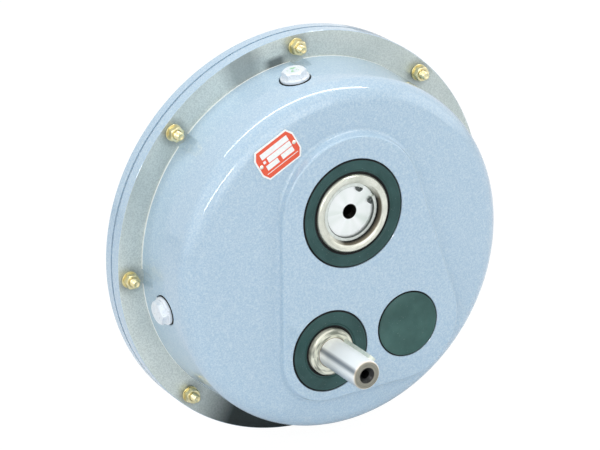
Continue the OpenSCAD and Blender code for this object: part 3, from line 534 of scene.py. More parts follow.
def grid_turned(angles, rows, closed):
    """Points and faces of rows of (radii, heights); capped on the axis where it isn't a closed ring."""
    columns = len(angles)
    points, faces = [], []
    rings = []
    for radii, heights in rows:
        rings.append(list(range(len(points), len(points) + columns)))
        points += [(r * math.cos(a), r * math.sin(a), z) for a, r, z in zip(angles, radii, heights)]
    for low, high in zip(rings, rings[1:] + (rings[:1] if closed else [])):
        for i in range(columns):
            j = (i + 1) % columns
            faces.append([low[i], low[j], high[j], high[i]])
    if not closed:
        faces.append(rings[0][::-1])
        faces.append(rings[-1])
    return points, faces


def threaded_rod(r, pitch, z0, z1, columns=36):
    """Threaded bolt end with a chamfered tip and a small dimple in it."""
    angles = np.arange(columns) * 2 * math.pi / columns
    depth, chamfer, dimple_r, dimple_floor_r = 0.54 * pitch, 1.1, r - 2, r - 2.8
    rows = [level(columns, r - depth, z0)]
    for z in np.arange(z0 + 0.2, z1 - 0.1, pitch / 6):
        phase = (z / pitch - angles / (2 * math.pi)) % 1
        crest = r - depth * np.abs(2 * phase - 1)
        tip = r - chamfer + (z1 - z)
        rows.append((np.minimum(crest, tip), np.full(columns, z)))
    rows += [level(columns, r - chamfer - 0.05, z1), level(columns, dimple_r, z1 - 0.1)]
    rows += [level(columns, dimple_floor_r, z1 - 0.6)]
    return grid_turned(angles, rows, closed=False)


def fastener_sizes():
    washer = drawn_box("flange_washers")
    nut = drawn_box("flange_nuts")
    bolt = drawn_box("flange_bolts")
    return washer[0][2], washer[1][2], nut[1][2], bolt[0][2], bolt[1][2]


def at_bolts(part):
    """One mesh with a copy of a shape at each bolt, each turned a little its own way."""
    first_turn, turn_step = 12, 37
    parts = []
    for i, at in enumerate(bolt_places()):
        parts.append(moved(part, Matrix.Translation((*at, 0)) @ turn_z(first_turn + i * turn_step)))
    return combined(parts)


def flange_fasteners():
    washer_z, nut_z, nut_top, head_z, tip_z = fastener_sizes()
    face_r, edge = WASHER_R - 0.2, 0.25
    washer = [(BOLT_HOLE_R, washer_z), (face_r, washer_z), (WASHER_R, washer_z + edge)]
    washer += [(WASHER_R, nut_z - edge), (face_r, nut_z), (BOLT_HOLE_R, nut_z)]
    behind = Matrix.Translation((0, 0, -REAR_FLANGE_T)) @ Matrix.Rotation(math.pi, 4, "X")
    head = moved(hex_prism(NUT_AF, -REAR_FLANGE_T - head_z), behind)
    shank = cylinder(BOLT_R, -REAR_FLANGE_T, nut_z, segments=36)
    tip = threaded_rod(BOLT_R, THREAD_PITCH, nut_z, tip_z)
    nut = hex_prism(NUT_AF, nut_top - nut_z, BOLT_R + SEAT_GAP, both_ends=True)
    nut = moved(nut, Matrix.Translation((0, 0, nut_z)))
    return {
        "bolts": ("flange_bolts", at_bolts(combined([head, shank, tip]))),
        "nuts": ("flange_nuts", at_bolts(nut)),
        "washers": ("flange_washers", at_bolts(revolved(washer, 48, closed=True))),
    }


def oil_plug(turn):
    """Threaded plug with a collar and a hexagon head."""
    thread_l, edge, chamfer, collar_r = 11, 0.3, 0.8, PLUG_COLLAR_R
    low, tail, high = PLUG_RING_T, PLUG_RING_T - thread_l, PLUG_RING_T + PLUG_COLLAR_T
    head = hex_prism(PLUG_HEAD_AF, PLUG_HEAD_H)
    body = [(0, tail), (PLUG_R - 1, tail), (PLUG_R, tail + 1), (PLUG_R, low), (collar_r - edge, low)]
    body += [(collar_r, low + edge), (collar_r, high - chamfer), (collar_r - chamfer, high), (0, high)]
    parts = [revolved(body, 96), moved(head, Matrix.Translation((0, 0, high)))]
    return moved(combined(parts), plug_frame(turn))


def plate_frame():
    """Places a shape on the domed face: X along the plate, Y away from the flange centre, Z upright."""
    lo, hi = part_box("nameplate_rivets")
    middle = np.array([(lo.x + hi.x) / 2, (lo.z + hi.z) / 2]) / MM - FLANGE_AT
    reach = float(np.hypot(*middle))
    top = FRONT_DEPTH - PAD_RISE
    dome_r = dome_radius(top, FRONT_FLANGE_T)
    height = top - CROWN * (reach / dome_r) ** 2
    slope = math.degrees(math.atan(2 * CROWN * reach / dome_r ** 2))
    return (
        Matrix.Translation((*FLANGE_AT, height))
        @ turn_z(PLATE_TURN)
        @ Matrix.Translation((0, reach, 0))
        @ Matrix.Rotation(math.radians(-slope), 4, "X")
        @ turn_z(-PLATE_SKEW)
    )


def slab(outline, z0, z1, bevel=0.0):
    """A flat slab of an outline that runs counter-clockwise, its upper edge bevelled."""
    o = np.array(outline, float)
    middle = o.mean(0)
    size = (o.max(0) - o.min(0)) / 2
    inner = middle + (o - middle) * (1 - bevel / size)
    rings = [[(*p, z0) for p in o], [(*p, z1 - bevel) for p in o], [(*p, z1) for p in inner]]
    n = len(o)
    points = [p for ring in rings for p in ring]
    faces = [list(range(n))[::-1], list(range(2 * n, 3 * n))]
    for k in (0, n):
        faces += [[k + i, k + (i + 1) % n, k + n + (i + 1) % n, k + n + i] for i in range(n)]
    return points, faces


# Blank fields of the plate: left, right, top and bottom as shares of its length and height
PLATE_FIELDS = [
    (0.16, 0.85, 0.155, 0.335), (0.262, 0.85, 0.36, 0.535), (0.152, 0.212, 0.395, 0.48),
    (0.165, 0.462, 0.56, 0.72), (0.545, 0.845, 0.56, 0.72), (0.11, 0.9, 0.795, 0.815),
]


def octagon(inset):
    x, y = PLATE_L / 2 - inset, PLATE_H / 2 - inset
    cut_x, cut_y = 4.5 - 0.4 * inset, 7 - 0.4 * inset
    corners = [(x - cut_x, -y), (x, cut_y - y), (x, y - cut_y), (x - cut_x, y)]
    return corners + [(-a, -b) for a, b in corners]


def nameplate():
    """Plate with a white edge, a red ground and blank white fields, each a thin layer of enamel."""
    white, red = 0, 1
    edge_w, film = 1.5, 0.05
    layers = [
        (slab(octagon(0), 0, PLATE_T - 2 * film, 0.15), white),
        (slab(octagon(edge_w), PLATE_T - 4 * film, PLATE_T - film, 0.03), red),
    ]
    for left, right, top, bottom in PLATE_FIELDS:
        x0, x1 = (left - 0.5) * PLATE_L, (right - 0.5) * PLATE_L
        y0, y1 = (0.5 - bottom) * PLATE_H, (0.5 - top) * PLATE_H
        field = [(x0, y0), (x1, y0), (x1, y1), (x0, y1)]
        layers.append((slab(field, PLATE_T - 2 * film, PLATE_T, 0.02), white))
    points, faces = combined([part for part, _ in layers])
    slots = [slot for part, slot in layers for _ in part[1]]
    return moved((points, faces), plate_frame()), slots


def rivets():
    shank_r, head_r, crown_r, low = 1, 2, 2.2, 0.1
    dome = [(0, low), (shank_r, low), (shank_r, PLATE_T), (head_r, PLATE_T)]
    dome += arc((0, PLATE_T - 0.9), crown_r, 24, 90, 6)
    parts = []
    for side in (-1, 1):
        at_side = Matrix.Translation((side * RIVET_PITCH / 2, 0, 0))
        parts.append(moved(revolved(dome, 32), plate_frame() @ at_side))
    return combined(parts)


def seal_profile(node, shaft_r):
    """Shaft seal: a rubber-covered case with a rounded rim, a shallow step and a dust lip."""
    r, lip, t = radius_of(node), shaft_r + 0.3, SEAL_T
    rim_r, case_t = 1.3, 2.4
    rim = [(r, 0), (r, t - rim_r - 0.8), (r - 0.35, t - rim_r - 0.3)]
    rim += arc((r - 0.35 - rim_r, t - rim_r), rim_r, 0, 90, 5)
    face = [(r - 3.4, t), (r - 3.7, t - 0.25), (lip + 4.4, t - 0.25), (lip + 4, t - 0.5)]
    dust_lip = [(lip + 3.4, t - 1.1), (lip + 2.2, t - 1.3), (lip + 1.2, t - 1), (lip + 0.3, t - 1.1)]
    dust_lip += [(lip, t - 1.6), (lip, t - 2.4), (lip + 2.4, t - 2.9)]
    oil_lip = [(lip + 1.4, 4.5), (lip, 3.5), (lip + 2.4, 1.5), (lip + 4.3, 4)]
    back = [(lip + 4.8, t - case_t), (r - case_t, t - case_t), (r - case_t, 0)]
    return rim + face + dust_lip + oil_lip + back


def output_shaft():
    """The hollow shaft with the wide chamfer that opens its mouth down to the circlip."""
    node = "hollow_output_shaft"
    obj = bpy.data.objects.new("output_shaft_chamfered", nodes[node].data.copy())
    scene.collection.objects.link(obj)
    welded = bmesh.new()
    welded.from_mesh(obj.data)
    bmesh.ops.remove_doubles(welded, verts=welded.verts, dist=1e-6)
    welded.to_mesh(obj.data)
    welded.free()
    clip_gap, step = 0.6, 0.3
    low, top = drawn_box("bore_circlip")[1][2] + clip_gap, drawn_box(node)[1][2]
    mouth = [(0, low), (BORE_R + step, low), (MOUTH_R, top), (MOUTH_R + 0.7, top + 1), (0, top + 1)]
    cut_from(obj, revolved(mouth, 160, OUTPUT_AT))
    obj.data.polygons.foreach_set("use_smooth", [True] * len(obj.data.polygons))
    obj.data.set_sharp_from_angle(angle=math.radians(30))
    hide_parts(node)
    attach(obj, "output_shaft")


def shaft_seal(node, shaft_r, rear):
    part = revolved(seal_profile(node, shaft_r), 160, closed=True)
    if rear:
        place = Matrix.Translation((*axis_of(node), SEAL_T - REAR_DEPTH)) @ Matrix.Rotation(math.pi, 4, "X")
    else:
        place = Matrix.Translation((*axis_of(node), FRONT_DEPTH - SEAL_T))
    return moved(part, place)


def paint_gap_shade(obj, node, shaft_r=0.0):
    """Painted shade, near black, on the rim of a seal and on the lip at its shaft, where the gaps to the bore
    and the shaft lie.
    """
    obj.data.materials.append(BLACK)
    green, black = 0, 1
    rim_w, lip_w = 1.6, 2.2
    outer_r, lip_r = radius_of(node) - rim_w, shaft_r + lip_w
    at = laid((*axis_of(node), 0))
    for polygon in obj.data.polygons:
        c = polygon.center
        rho = math.hypot(c.x - at[0], c.z - at[2]) / MM
        polygon.material_index = black if rho > outer_r or (shaft_r and rho < lip_r) else green


def cap():
    """Closed end cap with a rounded rim and a faint step down to its face."""
    r, t, wall = radius_of("intermediate_cap"), SEAL_T, 2.4
    profile = [(0, t - wall), (r - wall, t - wall), (r - wall, 0), (r, 0), (r, t - 1.8), (r - 0.3, t - 1.3)]
    profile += arc((r - 1.3, t - 1), 1, 0, 90, 4)
    profile += [(r - 3.2, t), (r - 3.6, t - 0.2), (r - 12, t - 0.25), (0, t - 0.25)]
    return moved(revolved(profile, 144), Matrix.Translation((*CAP_AT, FRONT_DEPTH - t)))


# ---- Materials --------------------------------------------------------------


class Graph:
    """A material under construction, with short calls for the nodes that repeat."""

    def __init__(self, name, colour=(0.8, 0.8, 0.8), roughness=0.5, metallic=0.0, **sockets):
        self.material = bpy.data.materials.new(name)
        self.material.use_nodes = True
        self.tree = self.material.node_tree
        self.shader = self.tree.nodes["Principled BSDF"]
        self.shader.inputs["Base Color"].default_value = (*colour, 1)
        self.shader.inputs["Roughness"].default_value = roughness
        self.shader.inputs["Metallic"].default_value = metallic
        for socket, value in sockets.items():
            self.shader.inputs[socket.replace("_", " ")].default_value = value
        self.place = self.tree.nodes.new("ShaderNodeTexCoord").outputs["Object"]

    def node(self, kind, inputs=(), **settings):
        made = self.tree.nodes.new(kind)
        for key, value in settings.items():
            setattr(made, key, value)
        for key, value in dict(inputs).items():
            if isinstance(value, bpy.types.NodeSocket):
                self.tree.links.new(value, made.inputs[key])
            else:
                made.inputs[key].default_value = value
        return made

    def math(self, operation, a, b=0.0):
        return self.node("ShaderNodeMath", {0: a, 1: b}, operation=operation).outputs[0]

    def noise(self, scale, detail=3.0, rough=0.55, at=None):
        """Cloudy noise; scale is in cells per metre."""
        inputs = {"Vector": at or self.place, "Scale": scale, "Detail": detail, "Roughness": rough}
        return self.node("ShaderNodeTexNoise", inputs).outputs["Fac"]

    def ramp(self, value, low, high, start=0.0, end=1.0):
        """value from low to high, spread over start to end."""
        inputs = {"Value": value, "From Min": low, "From Max": high, "To Min": start, "To Max": end}
        return self.node("ShaderNodeMapRange", inputs, clamp=True).outputs["Result"]

    def mix(self, factor, a, b):
        mixer = self.node("ShaderNodeMix", {0: factor}, data_type="RGBA")
        for key, value in ((6, a), (7, b)):
            if isinstance(value, bpy.types.NodeSocket):
                self.tree.links.new(value, mixer.inputs[key])
            else:
                mixer.inputs[key].default_value = (*value, 1)
        return mixer.outputs[2]

    def around(self, centre):
        """Turn (-0.5 to 0.5) and radius about an axis along Y, and the place along Y; metres."""
        parts = self.node("ShaderNodeSeparateXYZ", {0: self.place}).outputs
        x = self.math("SUBTRACT", parts[0], float(centre[0]) * MM)
        z = self.math("SUBTRACT", parts[2], float(centre[1]) * MM)
        turn = self.math("DIVIDE", self.math("ARCTAN2", z, x), 2 * math.pi)
        radius = self.math("SQRT", self.math("ADD", self.math("MULTIPLY", x, x), self.math("MULTIPLY", z, z)))
        return turn, radius, parts[1]

    def band(self, turn, centre, inner, outer, strength=1.0):
        """strength within inner turns of a centre, fading out by outer."""
        away = self.math("ABSOLUTE", self.math("SUBTRACT", turn, centre))
        return self.ramp(away, inner, outer, strength, 0)

    def within(self, distance, limit, blur):
        """1 up to a limit, then fading out over blur; both in millimetres, the distance in metres."""
        return self.ramp(distance, limit * MM, (limit + blur) * MM, 1, 0)

    def turned_noise(self, turn, radius, along, per_turn, per_metre, detail=2):
        """Noise drawn out round an axis; along is a third coordinate, or a number that picks a pattern."""
        across = self.math("MULTIPLY", radius, per_metre)
        return self.noise(1, detail, at=self.vector(self.math("MULTIPLY", turn, per_turn), across, along))

    def vector(self, x, y, z):
        return self.node("ShaderNodeCombineXYZ", {0: x, 1: y, 2: z}).outputs[0]

    def bump(self, height, strength, distance):
        inputs = {"Height": height, "Strength": strength, "Distance": distance}
        if self.shader.inputs["Normal"].is_linked:
            inputs["Normal"] = self.shader.inputs["Normal"].links[0].from_socket
        self.set("Normal", self.node("ShaderNodeBump", inputs).outputs[0])

    def set(self, socket, value):
        self.tree.links.new(value, self.shader.inputs[socket])


def srgb(r, g, b):
    """A colour as it shows on screen, 0 to 255, as linear light."""
    return tuple(c / 255 / 12.92 if c <= 10 else ((c / 255 + 0.055) / 1.055) ** 2.4 for c in (r, g, b))


def cast_paint():
    """Blue-grey enamel over a fine cast skin."""
    g = Graph("casing_paint", roughness=0.45, Coat_Weight=1.0, Coat_Roughness=0.04, Coat_IOR=1.6)
    cloud = g.ramp(g.noise(14, 3), 0.3, 0.7)
    colour = g.mix(cloud, srgb(171, 197, 216), srgb(177, 202, 219))
    colour = g.mix(g.ramp(g.noise(430, 2), 0.36, 0.64, 0, 0.65), colour, srgb(198, 216, 226))
    colour = g.mix(g.ramp(g.noise(760, 1, 0.6), 0.4, 0.62, 0, 0.7), colour, srgb(150, 183, 209))
    g.set("Base Color", colour)
    g.set("Roughness", g.ramp(g.noise(160, 3), 0.3, 0.7, 0.4, 0.52))
    g.bump(g.noise(1100, 2), 0.08, 0.0001)
    g.bump(g.noise(260, 3), 0.06, 0.0002)
    return g.material


def machined_face():
    """Bare cast iron, milled round, with painted sheen in wedges, painted shade round the nuts, a painted
    shadow and a painted dark reflection beside the top nut, and painted shade at the bottom.
    """
    g = Graph("bare_flange", roughness=0.38, metallic=0.6)
    turn, radius, _ = g.around(FLANGE_AT)
    rings = g.turned_noise(turn, radius, 0.0, 26, 2600, detail=3)
    # painted sheen: lighter and darker wedges standing in for the milled face's reflections
    sheen_sectors = g.turned_noise(turn, radius, 3.0, 9, 12)
    colour = g.mix(g.ramp(sheen_sectors, 0.42, 0.68), srgb(218, 226, 222), srgb(186, 198, 196))
    colour = g.mix(g.ramp(rings, 0.3, 0.7, 0, 0.5), colour, srgb(224, 230, 222))
    colour = g.mix(g.ramp(g.noise(700, 2), 0.4, 0.62, 0, 0.35), colour, srgb(150, 162, 160))
    # a painted dark reflection across the ring a little past the top nut
    colour = g.mix(g.band(turn, 0.299, 0.008, 0.022, 0.6), colour, srgb(112, 122, 122))
    # painted shade round each nut and in its spot-face pocket
    apart = g.math("PINGPONG", g.math("MULTIPLY", turn, BOLT_COUNT), 0.5)
    to_bolt = g.math("MULTIPLY", apart, BOLT_CIRCLE_R * MM * 2 * math.pi / BOLT_COUNT)
    off_circle = g.math("SUBTRACT", radius, BOLT_CIRCLE_R * MM)
    reach = g.math("ADD", g.math("MULTIPLY", to_bolt, to_bolt), g.math("MULTIPLY", off_circle, off_circle))
    nut_shade = g.ramp(g.math("SQRT", reach), 0.009, 0.016, 0.42, 0)
    colour = g.mix(nut_shade, colour, srgb(70, 80, 80))
    # a painted shadow of the top nut on the inner part of the ring beside it
    nut_shadow = g.math("MULTIPLY", g.band(turn, 0.27, 0.005, 0.013, 0.8), g.within(radius, 178, 5))
    colour = g.mix(nut_shadow, colour, srgb(60, 70, 70))
    # painted shade, near black, over the bottom of the ring
    bottom_shade = g.band(turn, -0.24, 0.088, 0.13, 0.95)
    g.set("Base Color", g.mix(bottom_shade, colour, srgb(18, 30, 30)))
    g.set("Roughness", g.ramp(rings, 0.3, 0.7, 0.3, 0.46))
    g.bump(rings, 0.2, 0.00006)
    return g.material


def input_steel():
    """Ground shaft end: white steel with painted reflections, a dark streak and a blue-grey band, a stained
    collar, a grey end and painted shade in its centre hole.
    """
    g = Graph("input_steel", roughness=0.34, metallic=0.25)
    turn, radius, depth = g.around(INPUT_AT)
    end_at, collar_at = -drawn_box("input_shaft")[1][2], -(FRONT_DEPTH + 5)
    white, dark = srgb(252, 254, 252), srgb(22, 24, 22)
    grooves = g.turned_noise(turn, radius, g.math("MULTIPLY", depth, 2400), 5, 2400)
    # painted reflections: a dark streak of the seal and cap, and lower down a blue-grey band of the casing
    shank = g.mix(g.band(turn, 0.425, 0.01, 0.045, 0.8), white, srgb(92, 104, 114))
    shank = g.mix(g.band(turn, -0.38, 0.04, 0.13, 0.7), shank, srgb(128, 146, 160))
    stain = g.turned_noise(turn, radius, 1.0, 7, 380)
    collar = g.mix(g.ramp(stain, 0.42, 0.6), srgb(232, 232, 214), srgb(132, 136, 124))
    collar = g.mix(g.within(radius, INPUT_END_R + 0.4, 0.8), collar, srgb(110, 84, 44))
    end = g.mix(g.ramp(grooves, 0.35, 0.65), srgb(150, 148, 134), srgb(124, 122, 110))
    end = g.mix(g.within(radius, INPUT_END_R - 1.6, 0.8), srgb(196, 176, 140), end)
    # painted shade in the centre hole of the end
    end = g.mix(g.within(radius, INPUT_CENTRE_R - 0.3, 0.4), end, dark)
    colour = g.mix(g.within(radius, INPUT_END_R + 0.2, 0.1), collar, shank)
    colour = g.mix(g.within(depth, end_at, 1.4), colour, end)
    # painted shade down the centre hole, past the collar
    past_collar = g.within(depth, collar_at - 1, 1)
    inside = g.math("MULTIPLY", g.within(radius, INPUT_CENTRE_R + 0.2, 0.3), past_collar)
    g.set("Base Color", g.mix(inside, colour, dark))
    g.set("Roughness", g.ramp(grooves, 0.3, 0.7, 0.28, 0.42))
    g.bump(grooves, 0.1, 0.00004)
    return g.material


def disc_steel():
    """Turned disc with a painted sheen round it and painted shade in the threaded hole in its middle."""
    g = Graph("disc_steel", roughness=0.34, metallic=0.7)
    turn, radius, _ = g.around(OUTPUT_AT)
    # painted sheen in wedges round the disc
    sheen = g.turned_noise(turn, radius, 2.0, 7, 0, detail=1)
    grooves = g.turned_noise(turn, radius, 0.0, 5, 2400)
    colour = g.mix(g.ramp(sheen, 0.35, 0.65), srgb(252, 254, 254), srgb(226, 234, 228))
    # painted shade in the threaded hole
    thread = g.mix(g.ramp(g.noise(700, 2), 0.4, 0.6), srgb(60, 58, 52), srgb(24, 24, 22))
    g.set("Base Color", g.mix(g.within(radius, DISC_THREAD_R, 0.3), colour, thread))
    g.set("Roughness", g.ramp(grooves, 0.3, 0.7, 0.28, 0.42))
    g.bump(grooves, 0.1, 0.00004)
    return g.material


def circlip_steel():
    """Bright spring steel with dull lugs and painted shade along the lower edge."""
    g = Graph("circlip_steel", roughness=0.34, metallic=0.6)
    turn, radius, _ = g.around(OUTPUT_AT)
    cloud = g.ramp(g.noise(240, 2), 0.3, 0.7)
    colour = g.mix(cloud, srgb(226, 232, 226), srgb(206, 212, 206))
    # painted shade along the lower inner edge
    lower_edge = g.math("MULTIPLY", g.within(radius, CIRCLIP_R + 0.4, 0.4), g.band(turn, -0.2, 0.2, 0.3))
    colour = g.mix(lower_edge, colour, srgb(40, 44, 44))
    colour = g.mix(g.within(radius, CIRCLIP_R, 0.3), colour, srgb(78, 84, 82))
    g.set("Base Color", colour)
    g.set("Roughness", g.ramp(g.noise(480, 2), 0.3, 0.7, 0.3, 0.42))
    g.bump(g.noise(960, 1), 0.06, 0.00004)
    return g.material


def output_steel():
    """Turned shaft end: painted shade along the lower right of its mouth and inside the bore."""
    g = Graph("output_steel", roughness=0.3, metallic=0.9)
    turn, radius, depth = g.around(OUTPUT_AT)
    grooves = g.turned_noise(turn, radius, g.math("MULTIPLY", depth, 2400), 6, 2400)
    film = g.ramp(g.noise(90, 3), 0.35, 0.7)
    colour = g.mix(film, srgb(230, 231, 218), srgb(206, 208, 194))
    # painted shade in the lower right of the mouth, darkest towards the bore
    lower_mouth = g.math("MULTIPLY", g.within(radius, MOUTH_R - 0.8, 0.7), g.band(turn, -0.13, 0.17, 0.27))
    mouth_shade = g.mix(g.within(radius, BORE_R + 0.7, 2), srgb(104, 98, 84), srgb(22, 24, 22))
    colour = g.mix(lower_mouth, colour, mouth_shade)
    # painted shade inside the bore
    g.set("Base Color", g.mix(g.within(radius, BORE_R + 0.1, 0.1), colour, srgb(58, 60, 54)))
    g.set("Roughness", g.ramp(grooves, 0.3, 0.7, 0.24, 0.4))
    g.bump(grooves, 0.12, 0.00005)
    return g.material


def plain_metal(name, colour, second, roughness, scale=240, metallic=1.0):
    """Metal with clouds of a second tone and a faint skin."""
    g = Graph(name, roughness=roughness, metallic=metallic)
    cloud = g.ramp(g.noise(scale, 2), 0.3, 0.7)
    g.set("Base Color", g.mix(cloud, colour, second))
    g.set("Roughness", g.ramp(g.noise(scale * 2, 2), 0.3, 0.7, roughness - 0.04, roughness + 0.08))
    g.bump(g.noise(scale * 4, 1), 0.06, 0.00004)
    return g.material


def plug_zinc():
    """White zinc with a dab of green paint on the filler's head."""
    g = Graph("white_zinc", roughness=0.3, metallic=0.25)
    cloud = g.ramp(g.noise(240, 2), 0.3, 0.7)
    colour = g.mix(cloud, srgb(238, 243, 247), srgb(222, 230, 238))
    head = plug_frame(0) @ Vector((0, 0, PLUG_RING_T + PLUG_COLLAR_T + PLUG_HEAD_H))
    at_head = [float(value) for value in laid(tuple(head))]
    away = g.node("ShaderNodeVectorMath", {0: g.place, 1: at_head}, operation="DISTANCE").outputs["Value"]
    brushed = g.ramp(g.noise(330, 2), 0.5, 0.56)
    dab = g.math("MULTIPLY", g.ramp(away, 0.0035, 0.0065, 1, 0), brushed)
    g.set("Base Color", g.mix(dab, colour, srgb(120, 205, 140)))
    g.set("Roughness", g.ramp(g.noise(480, 2), 0.3, 0.7, 0.26, 0.38))
    g.bump(g.noise(960, 1), 0.06, 0.00004)
    return g.material


def rubber(name, colour, roughness=0.4, gloss=0.4):
    """Moulded nitrile with a faint bloom and specks of dust."""
    g = Graph(name, roughness=roughness, Specular_IOR_Level=gloss)
    bloom = g.ramp(g.noise(45, 3), 0.35, 0.7)
    specks = g.ramp(g.noise(900, 1, 0.4), 0.74, 0.78)
    lighter = tuple(min(1, c * 1.35 + 0.01) for c in colour)
    g.set("Base Color", g.mix(specks, g.mix(bloom, colour, lighter), srgb(120, 140, 136)))
    g.set("Roughness", g.ramp(g.noise(200, 3), 0.3, 0.7, roughness - 0.07, roughness + 0.08))
    g.bump(g.noise(1400, 2), 0.08, 0.0001)
    return g.material


def enamel(name, colour):
    """Printed enamel on a plate."""
    g = Graph(name, roughness=0.32, Coat_Weight=0.3, Coat_Roughness=0.15)
    wear = g.ramp(g.noise(420, 3), 0.3, 0.7)
    g.set("Base Color", g.mix(wear, colour, tuple(min(1, c * 1.12) for c in colour)))
    g.set("Roughness", g.ramp(g.noise(700, 2), 0.3, 0.7, 0.28, 0.4))
    g.bump(g.noise(900, 2), 0.06, 0.0001)
    return g.material


PAINT = cast_paint()
BARE = machined_face()
ZINC_GOLD = plain_metal("yellow_zinc", srgb(240, 232, 192), srgb(222, 208, 156), 0.3)
ZINC_WHITE = plug_zinc()
# near-white painted highlight for the strip on the foot of the wall
HIGHLIGHT_STRIP = plain_metal("painted_highlight_strip", srgb(252, 254, 254), srgb(238, 244, 244), 0.3, metallic=0.1)
SEAL = rubber("seal_rubber", srgb(27, 66, 64))
# black rubber of the plug sealing rings, partly painted shade there too, and painted shade in the gaps round
# the seals and the cap
BLACK = rubber("black_rubber", srgb(4, 6, 6), 0.5, gloss=0.15)
PAPER = rubber("gasket_paper", srgb(20, 24, 26), 0.8)
RIVET = plain_metal("rivet_metal", srgb(236, 236, 222), srgb(220, 220, 205), 0.3)
GEAR = plain_metal("gear_steel", srgb(168, 170, 172), srgb(150, 152, 155), 0.3, 120)
BEARING = plain_metal("bearing_steel", srgb(205, 208, 210), srgb(192, 195, 198), 0.14, 120)
BRASS = plain_metal("cage_brass", srgb(205, 170, 95), srgb(186, 150, 80), 0.3, 160)
OUTPUT_STEEL = output_steel()
INPUT_STEEL = input_steel()
DISC_STEEL = disc_steel()
KEY_STEEL = plain_metal("key_steel", srgb(228, 234, 222), srgb(206, 214, 202), 0.36, metallic=0.5)
CAP = rubber("cap_rubber", srgb(42, 80, 75))
CIRCLIP_STEEL = circlip_steel()
PLATE_WHITE = enamel("plate_white", srgb(240, 242, 240))
PLATE_RED = enamel("plate_red", srgb(226, 84, 50))


def dress(name, material):
    """Gives a CAD node its material."""
    mesh = nodes[name].data
    mesh.materials.clear()
    mesh.materials.append(material)


def dress_frame():
    dressed = {
        "hollow_output_shaft": OUTPUT_STEEL, "retaining_disc": DISC_STEEL, "bore_circlip": CIRCLIP_STEEL,
        "output_spacer": OUTPUT_STEEL, "output_wheel_key": GEAR, "output_wheel": GEAR,
        "input_shaft": INPUT_STEEL, "input_shaft_key": KEY_STEEL, "intermediate_shaft": GEAR,
        "intermediate_wheel": GEAR, "intermediate_wheel_key": GEAR, "intermediate_spacer": GEAR,
        "casing_gasket": PAPER, "plug_sealing_rings": BLACK, "dowel_pins": BEARING,
    }
    for name in nodes:
        if name.endswith("_ring") or name.endswith("_balls"):
            dressed[name] = BEARING
        elif name.endswith("_cage"):
            dressed[name] = BRASS
    for name, material in dressed.items():
        dress(name, material)


def piece(name, part, material, slot, body, *replaced, angle=30):
    obj = mesh_object(name, *part, smooth_angle=angle)
    obj.data.materials.append(material)
    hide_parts(*replaced)
    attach(obj, body)
    return obj


# ---- Build ------------------------------------------------------------------

dress_frame()
finish_casing(front_casing(), "front_casing", -FRONT_FLANGE_T * MM)
finish_casing(rear_casing(), "rear_casing", REAR_FLANGE_T * MM)
for kind, (replaced, part) in flange_fasteners().items():
    piece("flange_" + kind + "_detailed", part, ZINC_GOLD, "yellow_zinc", "casing", replaced)
for plug, turn in PLUG_TURNS.items():
    piece(plug + "_detailed", oil_plug(turn), ZINC_WHITE, "white_zinc", "casing", plug)
plate_part, plate_slots = nameplate()
plate = piece("plate_enamelled", plate_part, PLATE_WHITE, "plate", "casing", "nameplate", angle=10)
plate.data.materials.append(PLATE_RED)
plate.data.polygons.foreach_set("material_index", plate_slots)
piece("plate_rivets", rivets(), RIVET, "rivet", "casing", "nameplate_rivets")
for node, shaft_r in SEALS.items():
    part = shaft_seal(node, shaft_r, rear=node.endswith("_rear"))
    seal = piece(node + "_moulded", part, SEAL, "seal_rubber", "casing", node)
    paint_gap_shade(seal, node, shaft_r)
paint_gap_shade(piece("cap_moulded", cap(), CAP, "seal_rubber", "casing", "intermediate_cap"), "intermediate_cap")
output_shaft()

# ---- Stage, light and camera ------------------------------------------------


def set_stage():
    """Pale floor under the casing; the camera sees it almost white, with the soft shadow left on it."""
    size, gap, glow_strength, glow_share = 6.0, 0.001, 1.06, 0.92
    mesh = bpy.data.meshes.new("floor")
    corners = [(-size, -size, 0), (size, -size, 0), (size, size, 0), (-size, size, 0)]
    mesh.from_pydata(corners, [], [[0, 1, 2, 3]])
    floor = bpy.data.objects.new("floor", mesh)
    floor.location.z = cad_box[0].z - gap
    scene.collection.objects.link(floor)
    g = Graph("pale_floor", srgb(238, 240, 242), 0.9)
    glow = g.node("ShaderNodeEmission", {"Color": (1, 1, 1, 1), "Strength": glow_strength}).outputs[0]
    path = g.node("ShaderNodeLightPath").outputs["Is Camera Ray"]
    share = g.math("MULTIPLY", path, glow_share)
    mixed = g.node("ShaderNodeMixShader", {0: share, 1: g.shader.outputs[0], 2: glow})
    g.tree.links.new(mixed.outputs[0], g.tree.nodes["Material Output"].inputs["Surface"])
    mesh.materials.append(g.material)


